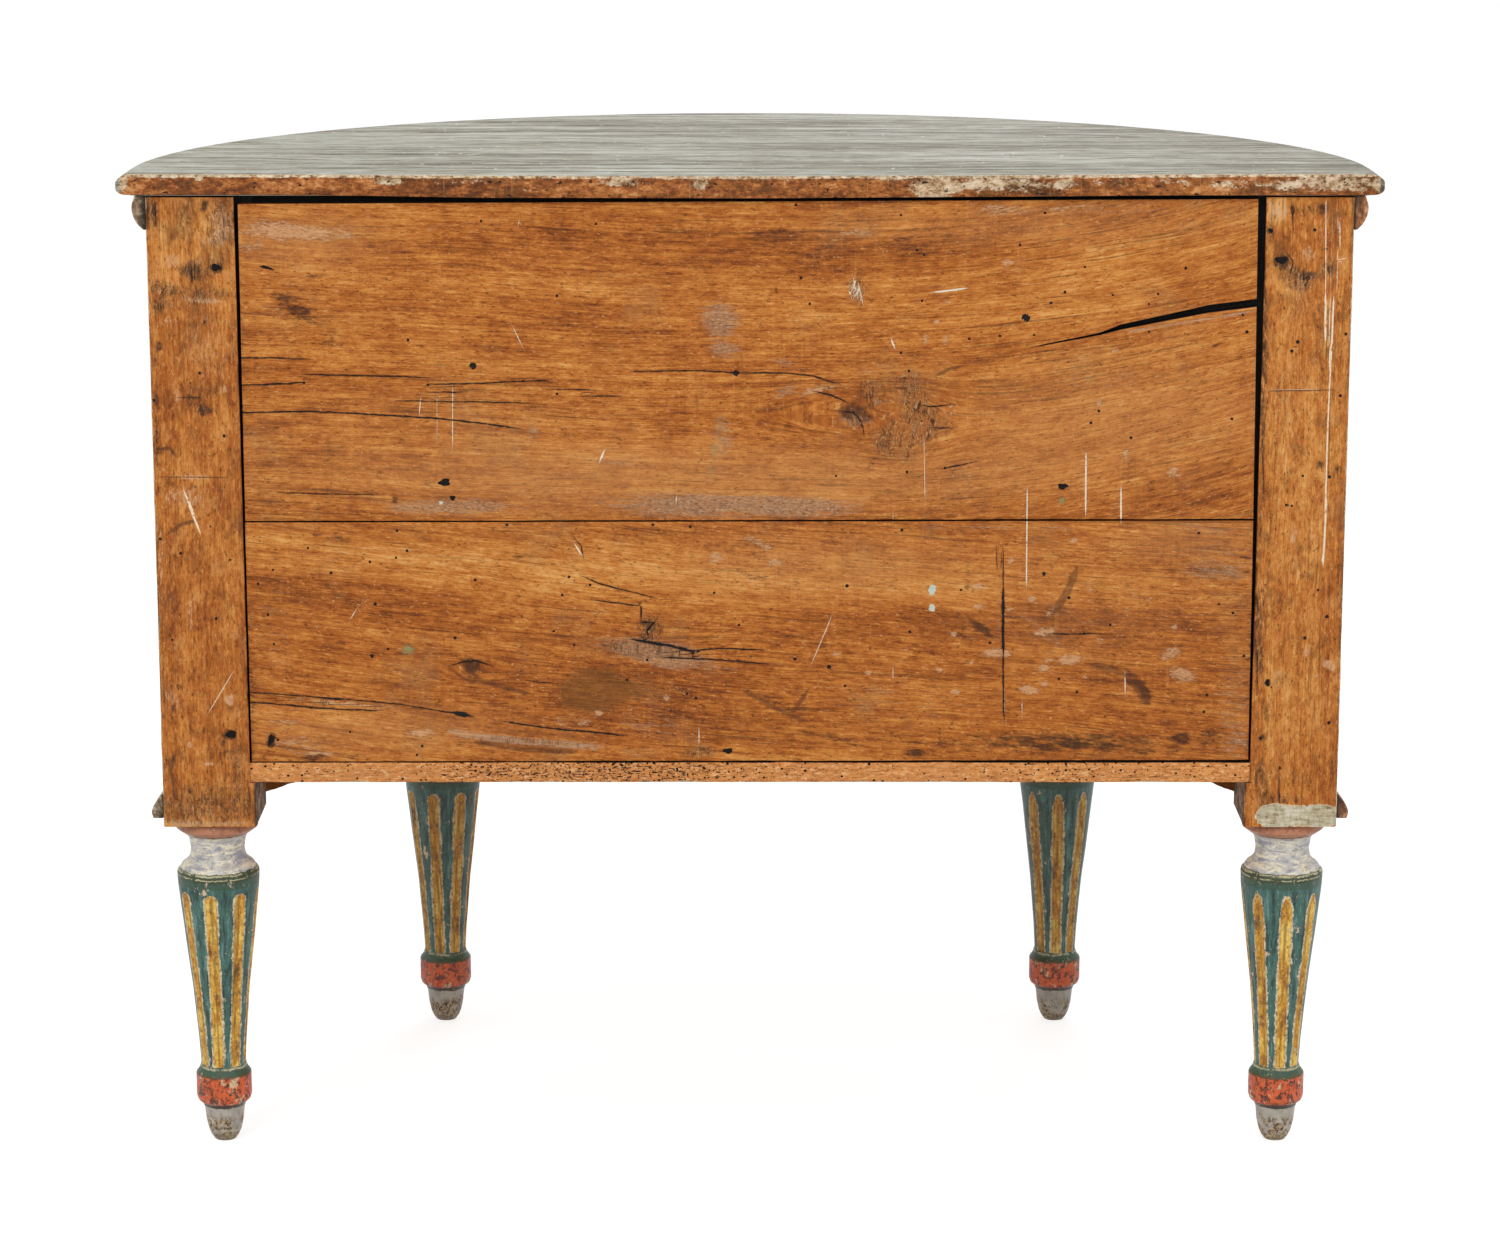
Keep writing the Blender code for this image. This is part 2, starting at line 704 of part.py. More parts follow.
def moulding(name, path, profile, bottom, finish):
    """Moulding of a section carried along a path."""
    guide_object = guide_curve(name, [(x, y, 0.0) for x, y in path], False, False)
    guide_object.data.bevel_mode = "OBJECT"
    guide_object.data.bevel_object = profile
    guide_object.data.use_fill_caps = True
    guide_object.data.twist_mode = "Z_UP"
    mesh = mesh_from_curve(guide_object)
    smooth(mesh)
    return place(name, mesh, finish, (0.0, 0.0, bottom))


def mouldings(paint):
    """Cornice under the top and moulding round the foot of the body."""
    kinds = (
        ("cornice_moulding", CORNICE_SHARES, CORNICE_PROJECTION, CORNICE_HEIGHT,
         TOP_UNDERSIDE - FIT - CORNICE_HEIGHT),
        ("base_moulding", BASE_MOULDING_SHARES, BASE_MOULDING_PROJECTION,
         BASE_MOULDING_HEIGHT, BOTTOM_RAIL_UNDERSIDE),
    )
    for kind, shares, projection, height, bottom in kinds:
        profile = section(f"{kind}_section", shares, projection, height)
        for word, path in moulding_paths().items():
            moulding(f"{kind}_{word}", path, profile, bottom, paint)


def dovetails(name, side, bottom, top, grown, finish):
    """Tails of a drawer side, which also cut their sockets where grown."""
    tail_end = plan_point(angle_at_x(DRAWER_HALF))[1] + DOVETAIL_LAP
    root = tail_end + DRAWER_FRONT_THICKNESS + OVERRUN
    inner = DRAWER_INNER_HALF - (grown if grown else OVERRUN)
    outer = DRAWER_HALF + OVERRUN
    count = max(1, round((top - bottom) / DOVETAIL_PITCH))
    pitch = (top - bottom) / count
    tails = []
    for index in range(count):
        middle = bottom + pitch * (index + 0.5)
        wide = DOVETAIL_HEIGHT / 2 + grown
        narrow = wide - DOVETAIL_FLARE
        outline = [
            (tail_end - grown, middle - wide),
            (root, middle - narrow),
            (root, middle + narrow),
            (tail_end - grown, middle + wide),
        ]
        tails.append((outline, sorted((side * inner, side * outer))))
    shape = bmesh.new()
    for outline, (near, far) in tails:
        face = shape.faces.new([shape.verts.new((near, y, z)) for y, z in outline])
        grown_face = bmesh.ops.extrude_face_region(shape, geom=[face])["geom"]
        moved = [item for item in grown_face if isinstance(item, bmesh.types.BMVert)]
        bmesh.ops.translate(shape, vec=(far - near, 0.0, 0.0), verts=moved)
    bmesh.ops.recalc_face_normals(shape, faces=shape.faces)
    mesh = bpy.data.meshes.new(name)
    shape.to_mesh(mesh)
    shape.free()
    return as_cutter(place(name, mesh, finish))


def drawer_front(name, bottom, top, finish):
    """Bowed drawer front of even thickness with ends that run straight back."""
    outer = front_run(DRAWER_HALF)
    inner = front_run(DRAWER_HALF, -DRAWER_FRONT_THICKNESS)
    return slab(name, outer + inner[::-1], bottom, top, finish)


def pin_cutter(name, bottom, top, tails, finish):
    """Wood of the drawer front round the tails, which a drawer side gives way to."""
    outer = front_run(DRAWER_HALF + OVERRUN, OVERRUN)
    inner = front_run(DRAWER_HALF + OVERRUN, -DRAWER_FRONT_THICKNESS - FIT)
    shape = slab(name, outer + inner[::-1], bottom - OVERRUN, top + OVERRUN, finish)
    cut(shape, tails)
    return as_cutter(shape)


def drawer_bottom_outline(grown, rear):
    """Outline of a drawer bottom, which also cuts its groove where grown."""
    half = DRAWER_INNER_HALF + GROOVE_DEPTH - FIT + grown
    front = front_run(half, -DRAWER_FRONT_THICKNESS + GROOVE_DEPTH - FIT + grown)
    return front + [(-half, rear), (half, rear)]


def drawer_side(name, side, bottom, top, groove, finish):
    """Drawer side with tails at its front end and a groove for the bottom."""
    word = "right" if side > 0 else "left"
    tail_end = plan_point(angle_at_x(DRAWER_HALF))[1] + DOVETAIL_LAP
    low = (DRAWER_INNER_HALF, tail_end, bottom)
    piece = side_box(f"{name}_side_{word}", side, low, (DRAWER_HALF, DRAWER_REAR_Y, top), finish)
    tails = dovetails(f"{name}_tails_{word}", side, bottom, top, 0.0, finish)
    cut(piece, pin_cutter(f"{name}_pins_{word}", bottom, top, tails, finish))
    cut(piece, groove)
    return piece


def knob_profile():
    """Radii and heights of a knob, its shank and its nut, about its rose's back."""
    inner_face = -DRAWER_FRONT_THICKNESS - STOP_GAP
    nut = inner_face - KNOB_NUT_THICKNESS
    head = [(radius * KNOB_RADIUS, share * KNOB_PROJECTION + FIT) for radius, share in KNOB_SHARES]
    shank = [
        (KNOB_SHANK_RADIUS, FIT),
        (KNOB_SHANK_RADIUS, inner_face),
        (KNOB_NUT_RADIUS, inner_face),
        (KNOB_NUT_RADIUS, nut),
        (0.0, nut),
    ]
    return [(0.0, KNOB_PROJECTION + FIT)] + head + shank


def knob(name, side, height, front, brass):
    """Turned knob whose shank passes through the drawer front to a nut."""
    angle = angle_at_x(KNOB_X)
    x, y = plan_point(angle)
    outward = Matrix.Rotation(side * plan_turn(angle), 4, "Z")
    level = Matrix.Rotation(math.radians(90), 4, "X")
    seat = Matrix.Translation((side * x, y, height)) @ outward @ level
    piece = turned(name, knob_profile(), KNOB_STEPS, brass)
    piece.matrix_world = seat
    radius = KNOB_SHANK_RADIUS + FIT
    reach = DRAWER_FRONT_THICKNESS + OVERRUN
    bore = cylinder(f"{name}_bore", radius, -reach, reach, (0.0, 0.0), brass)
    bore.matrix_world = seat
    cut(front, as_cutter(bore))
    return piece


def drawer(word, floor, ceiling, paint, pine, brass):
    """Drawer of a bowed front, two dovetailed sides, a back, a bottom and two knobs."""
    name = f"{word}_drawer"
    bottom = floor + FIT
    top = ceiling - DRAWER_TOP_GAP
    side_top = top - DRAWER_SIDE_DROP
    board_low = bottom + DRAWER_BOTTOM_LIFT
    board_high = board_low + DRAWER_BOTTOM_THICKNESS
    front = drawer_front(f"{name}_front", bottom, top, paint)
    cut_outline = drawer_bottom_outline(FIT, DRAWER_REAR_Y + OVERRUN)
    groove = slab(f"{name}_groove", cut_outline, board_low - FIT, board_high + FIT, pine)
    cut(front, as_cutter(groove))
    pieces = [front]
    for side, hand in ((-1, "left"), (1, "right")):
        socket = dovetails(f"{name}_sockets_{hand}", side, bottom, side_top, FIT, pine)
        cut(front, socket)
        pieces.append(drawer_side(name, side, bottom, side_top, groove, pine))
        middle = (bottom + top) / 2
        pieces.append(knob(f"{word}_knob_{hand}", side, middle, front, brass))
    board_outline = drawer_bottom_outline(0.0, DRAWER_REAR_Y)
    pieces.append(slab(f"{name}_bottom", board_outline, board_low, board_high, pine))
    inner = DRAWER_INNER_HALF - FIT
    low = (-inner, DRAWER_REAR_Y - DRAWER_BACK_THICKNESS, board_high + FIT)
    pieces.append(box(f"{name}_back", low, (inner, DRAWER_REAR_Y, side_top), pine))
    slide = bpy.data.objects.new(f"{name}_slide", None)
    slide.location = (0.0, FRONT_APEX_Y, bottom)
    PARTS.objects.link(slide)
    carried(slide, pieces)


def new_collection(name):
    """Collection of the scene."""
    made = bpy.data.collections.new(name)
    bpy.context.scene.collection.children.link(made)
    return made


for leftover in list(bpy.data.objects):
    bpy.data.objects.remove(leftover)

PARTS = new_collection(COLLECTION_NAME)
CUTTERS = new_collection("cutters")


def build():
    """Makes every piece of the chest."""
    top_paint = material("top_paint", (0.43, 0.45, 0.41), 0.55)
    body_paint = material("body_paint", (0.52, 0.53, 0.47), 0.6)
    leg_paint = material("leg_paint", (0.10, 0.20, 0.17), 0.55)
    pine = material("old_pine", (0.42, 0.19, 0.07), 0.75)
    brass = material("brass", (0.60, 0.42, 0.16), 0.35, 1.0)
    flutes = flute_cutters(leg_paint)
    top_board(top_paint)
    for side, word in ((-1, "left"), (1, "right")):
        rear = mirrored([rear_leg_axis()], side)[0]
        front = mirrored([front_leg_axis()], side)[0]
        rear_post(side, word, pine, tenon_bore(f"rear_post_{word}", rear, pine))
        front_post(side, word, body_paint, tenon_bore(f"front_post_{word}", front, pine))
        leg(f"rear_{word}", rear, flutes, leg_paint)
        leg(f"front_{word}", front, flutes, leg_paint)
        side_rail(f"side_bottom_rail_{word}", side, BOTTOM_RAIL_UNDERSIDE, BOARD_UNDERSIDE - FIT, pine)
        side_rail(f"side_top_rail_{word}", side, UPPER_CEILING, TOP_UNDERSIDE - FIT, pine)
        side_panel(side, word, body_paint)
        rear_end = LEDGE_Y - REAR_RAIL_THICKNESS - FIT
        runner(f"mid_runner_{word}", side, LOWER_CEILING, UPPER_FLOOR, LEDGE_Y, pine)
        runner(f"kicker_{word}", side, UPPER_CEILING, TOP_UNDERSIDE - FIT, rear_end, pine)
        for level, floor in (("upper", UPPER_FLOOR), ("lower", LOWER_FLOOR)):
            guide(f"{level}_guide_{word}", side, floor, pine)
            drawer_stop(f"{level}_stop_{word}", side, floor, pine)
    front_rails(pine)
    bottom_board(pine)
    back_boards(pine)
    rear_top_rail(pine)
    mouldings(body_paint)
    drawer("upper", UPPER_FLOOR, UPPER_CEILING, body_paint, pine, brass)
    drawer("lower", LOWER_FLOOR, LOWER_CEILING, body_paint, pine, brass)


build()
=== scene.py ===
"""Looks of the half-round chest: old pine, worn paint, fluted legs and iron nails.

Metres, in the part's frame: +X is the chest's right, which is the photograph's
left, because the photograph shows the back. Marks of the back are placed by
their pixels in the photograph's frame of 1500 x 1257.
"""

import itertools
import math

import bpy
import numpy as np
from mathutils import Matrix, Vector


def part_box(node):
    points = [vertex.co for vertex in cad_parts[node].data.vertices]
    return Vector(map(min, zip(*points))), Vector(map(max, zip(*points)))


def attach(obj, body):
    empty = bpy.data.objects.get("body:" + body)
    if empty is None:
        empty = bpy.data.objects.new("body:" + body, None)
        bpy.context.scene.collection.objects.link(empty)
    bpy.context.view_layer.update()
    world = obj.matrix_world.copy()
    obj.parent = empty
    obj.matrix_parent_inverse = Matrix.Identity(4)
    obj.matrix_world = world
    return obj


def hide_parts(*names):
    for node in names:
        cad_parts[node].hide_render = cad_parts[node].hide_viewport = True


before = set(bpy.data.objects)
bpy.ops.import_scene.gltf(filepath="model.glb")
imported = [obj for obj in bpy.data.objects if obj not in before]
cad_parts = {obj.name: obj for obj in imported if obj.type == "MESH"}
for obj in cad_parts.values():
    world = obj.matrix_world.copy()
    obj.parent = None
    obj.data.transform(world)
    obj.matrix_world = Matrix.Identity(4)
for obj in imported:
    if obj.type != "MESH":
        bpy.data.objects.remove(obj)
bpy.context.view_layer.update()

# Camera, fitted to the outline of the chest in the photograph
IMAGE_WIDTH_PIXELS = 1500
IMAGE_HEIGHT_PIXELS = 1257
FOCAL_PIXELS = 4301.5
SENSOR_WIDTH = 36.0
CAMERA_PLACE = (0.0, 4.083, 1.3312)
CAMERA_PITCH = math.radians(12.389)

# Sizes read from the frame
TOP_LOW, TOP_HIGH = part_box("top_board")
POST_LOW, POST_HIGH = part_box("rear_post_right")
FRONT_POST_LOW, FRONT_POST_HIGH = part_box("front_post_right")
UPPER_BOARD_LOW, UPPER_BOARD_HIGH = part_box("back_board_upper")
FLOOR_BOARD_LOW, FLOOR_BOARD_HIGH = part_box("bottom_board")
MID_RAIL_LOW, MID_RAIL_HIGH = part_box("mid_rail_front")
PANEL_LOW, PANEL_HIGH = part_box("side_panel_right")
CORNICE_LOW, CORNICE_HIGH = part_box("cornice_moulding_right")
BASE_LOW, BASE_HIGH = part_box("base_moulding_right")
BODY_HALF_WIDTH = POST_HIGH.x
REAR_Y = POST_HIGH.y
BODY_DEPTH = REAR_Y - MID_RAIL_LOW.y
TOP_OVERHANG = TOP_HIGH.x - BODY_HALF_WIDTH
POST_FOOT = POST_LOW.z
POST_INNER_X = POST_LOW.x

# Sizes that the frame doesn't give by itself, as in the part
PLAN_POWER = 2.06
NOSING_RADIUS = 0.007
RABBET_WIDTH = 0.013
RABBET_DEPTH = 0.014
FOOT_STEP = 0.0087
FRONT_POST_DEPTH = 0.080
PANEL_RECESS = 0.004
PANEL_THICKNESS = 0.018
DRAWER_FRONT_THICKNESS = 0.022
LEG_RADIUS = 0.038
LEG_HEIGHT = 0.312
FIT = 0.0003
DRAWER_SIDE_GAP = 0.0015
BOARD_LEDGE = 0.015
KNOB_INSET = 0.118
KNOB_RADIUS = 0.015
KNOB_PROJECTION = 0.026
CORNICE_PROJECTION = 0.0126
BASE_PROJECTION = 0.0107
REAR_LEG_PLACE = (0.4915, 0.2455)
FRONT_LEG_PLACE = (0.3100, -0.1246)

# Distance between the points of the finest meshes, of fine ones and of the plain ones
FINEST = 0.0012
FINE = 0.0020
COARSE = 0.0060

# How near a plane a point counts as on it
ON_PLANE = 0.00001

# Marks lie on the back, down to so far in front of its plane
MARKED_DEPTH = 0.004

SIDES = ((1, "right"), (-1, "left"))

OPENING_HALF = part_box("top_rail_front")[1].x + FIT
FRONT_POST_OUTER_X = FRONT_POST_HIGH.x
REAR_POST_FRONT_Y = POST_LOW.y
LEDGE_Y = REAR_Y - RABBET_DEPTH
POST_STEP_X = POST_INNER_X + FOOT_STEP
DRAWER_HALF = OPENING_HALF - DRAWER_SIDE_GAP
RAIL_INNER_Y = MID_RAIL_HIGH.y
KNOB_X = OPENING_HALF - KNOB_INSET

# Leg: shares of its radius and of its height, from its shoulder to the floor, as in the part
LEG_PROFILE_SHARES = (
    (0.940, 1.000), (0.992, 0.985), (1.000, 0.972), (0.895, 0.962), (0.725, 0.9475),
    (0.690, 0.935), (0.652, 0.907), (0.668, 0.889), (0.712, 0.876), (0.790, 0.8665),
    (0.880, 0.859), (0.905, 0.852), (0.950, 0.845), (0.990, 0.840), (1.000, 0.832),
    (0.995, 0.820), (0.985, 0.795), (0.848, 0.641), (0.695, 0.481), (0.584, 0.321),
    (0.547, 0.242), (0.592, 0.224), (0.679, 0.210), (0.679, 0.141), (0.645, 0.127),
    (0.535, 0.116), (0.490, 0.100), (0.455, 0.060), (0.400, 0.030), (0.340, 0.013),
    (0.260, 0.000),
)
FLUTE_COUNT = 8
FLUTE_TOP_SHARE = 0.784     # of the leg's height
FLUTE_FOOT_SHARE = 0.236
FLUTE_TOP_HALF_WIDTH = 0.0053
FLUTE_FOOT_HALF_WIDTH = 0.0042
FLUTE_DEPTH = 0.0024

# Legs: the direction of one flute in degrees about Z, and how far its nose tapers
LEGS = {
    "leg_rear_right": (84.4, 0.006),
    "leg_rear_left": (92.2, 0.014),
    "leg_front_right": (77.7, 0.006),
    "leg_front_left": (88.5, 0.014),
}

# Moulding sections: shares of projection and height, True where round
CORNICE_SHARES = (
    (0.00, 0.00, False), (0.20, 0.02, False), (0.74, 0.26, True),
    (1.00, 0.66, True), (0.72, 1.00, False), (0.00, 1.00, False),
)
BASE_SHARES = (
    (0.00, 0.00, False), (0.82, 0.00, False), (1.00, 0.30, True),
    (0.66, 0.66, True), (0.10, 1.00, False), (0.00, 1.00, False),
)

# Knob: shares of its radius and of its projection, from its tip inwards
KNOB_SHARES = (
    (0.02, 1.00), (0.30, 0.99), (0.58, 0.95), (0.88, 0.84), (1.00, 0.66), (0.80, 0.47),
    (0.42, 0.36), (0.36, 0.28), (0.38, 0.20), (0.60, 0.14), (0.86, 0.10), (0.92, 0.04),
    (0.92, 0.00),
)


# Numbers

def plan_curve(angles, offset=0.0):
    """Plan points of the body for angles from its right end round to its left end."""
    across = np.abs(np.cos(angles)) ** (2 / PLAN_POWER)
    forward = np.maximum(np.sin(angles), 0.0) ** (2 / PLAN_POWER)
    x = np.sign(np.cos(angles)) * (BODY_HALF_WIDTH + offset) * across
    return np.stack([x, REAR_Y - (BODY_DEPTH + offset) * forward], axis=-1)


def angle_at_x(x, offset=0.0):
    """Angle at which the right half of the plan reaches x."""
    return math.acos((x / (BODY_HALF_WIDTH + offset)) ** (PLAN_POWER / 2))


def angle_at_y(y, offset=0.0):
    """Angle at which the right half of the plan reaches y."""
    return math.asin(((REAR_Y - y) / (BODY_DEPTH + offset)) ** (PLAN_POWER / 2))


def seen_at(points):
    """Pixels of the photograph at which points are seen."""
    away = points - np.array(CAMERA_PLACE)
    cosine = math.cos(CAMERA_PITCH)
    sine = math.sin(CAMERA_PITCH)
    depth = -away[..., 1] * cosine - away[..., 2] * sine
    up = away[..., 2] * cosine - away[..., 1] * sine
    u = IMAGE_WIDTH_PIXELS / 2 - FOCAL_PIXELS * away[..., 0] / depth
    v = IMAGE_HEIGHT_PIXELS / 2 - FOCAL_PIXELS * up / depth
    return np.stack([u, v], axis=-1)


def on_plane(pixel, y):
    """Point of an upright plane across the chest that is seen at a pixel."""
    cosine = math.cos(CAMERA_PITCH)
    sine = math.sin(CAMERA_PITCH)
    aside = (pixel[0] - IMAGE_WIDTH_PIXELS / 2) / FOCAL_PIXELS
    down = (pixel[1] - IMAGE_HEIGHT_PIXELS / 2) / FOCAL_PIXELS
    reach = (CAMERA_PLACE[1] - y) / (cosine - sine * down)
    return np.array([-aside * reach, y, CAMERA_PLACE[2] - reach * (sine + cosine * down)])


def hashed(lattice, seed):
    """Number between -1 and 1 for each whole-numbered place."""
    factors = np.array([127.1, 311.7, 74.7])[:lattice.shape[-1]]
    return 2 * np.mod(np.sin(lattice @ factors + 53.3 * seed) * 43758.5453, 1.0) - 1


def noise(points, cell, seed=0):
    """Smooth noise between -1 and 1, with lumps about a cell across."""
    place = points / np.asarray(cell)
    base = np.floor(place)
    part = place - base
    part = part * part * (3 - 2 * part)
    total = np.zeros(points.shape[:-1])
    for corner in itertools.product((0, 1), repeat=points.shape[-1]):
        corner = np.array(corner)
        weight = np.prod(np.where(corner, part, 1 - part), axis=-1)
        total += weight * hashed(base + corner, seed)
    return total


def rough_noise(points, cell, seed=0, octaves=3):
    """Sum of noises, each half as coarse and half as strong as the one before."""
    cell = np.asarray(cell)
    return sum(noise(points, cell / 2 ** n, seed + n) / 2 ** n for n in range(octaves))


def smooth_step(value, low, high):
    """0 below low, 1 above high and smooth between."""
    part = np.clip((value - low) / (high - low), 0.0, 1.0)
    return part * part * (3 - 2 * part)


def blots(pixels, table):
    """Strength of soft oval marks: centre, half sizes, strength and, if any, turn in degrees."""
    total = np.zeros(len(pixels))
    for u, v, half_u, half_v, strength, *turn in table:
        angle = math.radians(turn[0]) if turn else 0.0
        cosine = math.cos(angle)
        sine = math.sin(angle)
        away = pixels - np.array([u, v])
        along = (away[:, 0] * cosine + away[:, 1] * sine) / half_u
        across = (away[:, 1] * cosine - away[:, 0] * sine) / half_v
        total += strength * np.exp(-(along ** 2 + across ** 2) ** 1.5)
    return total


def strokes(pixels, table, reach):
    """Signed distance to the nearest line of a table, and its half width there.

    A row is a half width and the line's pixels. The width runs out at both ends,
    and is negative, for no line, further away than the reach.
    """
    best = np.full(len(pixels), np.inf)
    result = np.tile([reach, -reach, 0.0], (len(pixels), 1))
    for half_width, *route in table:
        route = np.array(route, float)
        lengths = np.linalg.norm(np.diff(route, axis=0), axis=1)
        starts = np.concatenate([[0.0], np.cumsum(lengths)])
        for first, last, length, start in zip(route, route[1:], lengths, starts):
            along = (last - first) / length
            away = pixels - first
            run = away @ along
            signed = along[0] * away[:, 1] - along[1] * away[:, 0]
            held = np.clip(run, 0.0, length)
            distance = np.linalg.norm(away - held[:, None] * along, axis=1)
            to_end = np.minimum(start + run, starts[-1] - start - run)
            width = half_width * np.clip(to_end / 8 + 0.15, -2.0, 1.0)
            near = (distance < best) & (distance < reach)
            best = np.where(near, distance, best)
            result[near, 0] = signed[near]
            result[near, 1] = width[near]
    return result


def dots(points, table, reach=0.0048):
    """Place across the back and radius of the nearest hole of a table of pixels and radii in mm."""
    result = np.zeros((len(points), 3))
    best = np.full(len(points), reach)
    y = float(points[:, 1].max())
    for u, v, radius in table:
        centre = on_plane((u, v), y)
        distance = np.hypot(points[:, 0] - centre[0], points[:, 2] - centre[2])
        near = distance < best
        best = np.where(near, distance, best)
        result[near] = (centre[0], centre[2], radius / 1000)
    return result


def facing(angle, reach):
    """Plan point at an angle and the direction outwards there, measured over a reach."""
    near = plan_curve(np.array([angle]))[0]
    away = plan_curve(np.array([angle]), reach)[0] - near
    return near, away / np.linalg.norm(away)


# Objects

def placed(name, data):
    """New object of the scene."""
    thing = bpy.data.objects.new(name, data)
    bpy.context.scene.collection.objects.link(thing)
    return thing


def loft(name, rings, sharp=40):
    """Closed mesh of rings of points, each joined to the next, with both ends filled.

    Edges sharper than so many degrees aren't shaded smooth.
    """
    rings = np.asarray(rings, float)
    count, size = rings.shape[:2]
    here = np.arange(count * size).reshape(count, size)
    ahead = np.roll(here, -1, axis=1)
    quads = np.stack([here[:-1], ahead[:-1], ahead[1:], here[1:]], axis=-1).reshape(-1, 4)
    points = rings.reshape(-1, 3)
    faces = quads.tolist() + [here[0][::-1].tolist(), here[-1].tolist()]
    mesh = bpy.data.meshes.new(name)
    mesh.from_pydata(points.tolist(), [], faces)
    corners = points[quads] - points.mean(axis=0)
    normals = np.cross(corners[:, 2] - corners[:, 0], corners[:, 3] - corners[:, 1])
    if np.einsum("ij,ij->", corners.mean(axis=1), normals) < 0:
        mesh.flip_normals()
    mesh.shade_smooth()
    mesh.set_sharp_from_angle(angle=math.radians(sharp))
    return placed(name, mesh)


def places(piece):
    """Points of a piece as an array."""
    flat = np.empty(len(piece.data.vertices) * 3)
    piece.data.vertices.foreach_get("co", flat)
    return flat.reshape(-1, 3)


def field(piece, name, values):
    """Keeps a number or a vector for each point of a piece, which its material reads."""
    values = np.asarray(values, np.float32)
    vector = values.ndim > 1
    layer = piece.data.attributes.new(name, "FLOAT_VECTOR" if vector else "FLOAT", "POINT")
    layer.data.foreach_set("vector" if vector else "value", values.ravel())


def mark(piece, ovals, lines, where=1.0):
    """Keeps the marks of a piece, seen at the photograph's pixels, for each of its points."""
    pixels = seen_at(places(piece))
    for name, table in ovals.items():
        field(piece, name, where * np.minimum(blots(pixels, table), MARK_LIMITS.get(name, np.inf)))
    for name, table in lines.items():
        field(piece, name, strokes(pixels, table, LINE_REACH[name]))


def dress(piece, material, nodes=(), body="carcass"):
    """Gives a piece its material, its body and the nodes that it stands for."""
    piece.data.materials.append(material)
    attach(piece, body)
    if nodes:
        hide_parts(*nodes)


# Node trees

def light_of(value):
    """Light of a screen value between 0 and 255."""
    share = value / 255
    return ((share + 0.055) / 1.055) ** 2.4 if share > 0.04045 else share / 12.92


def colour(shade):
    """Colour for a socket, from three screen values; a socket stays as it is."""
    return (*map(light_of, shade), 1.0) if isinstance(shade, tuple) else shade


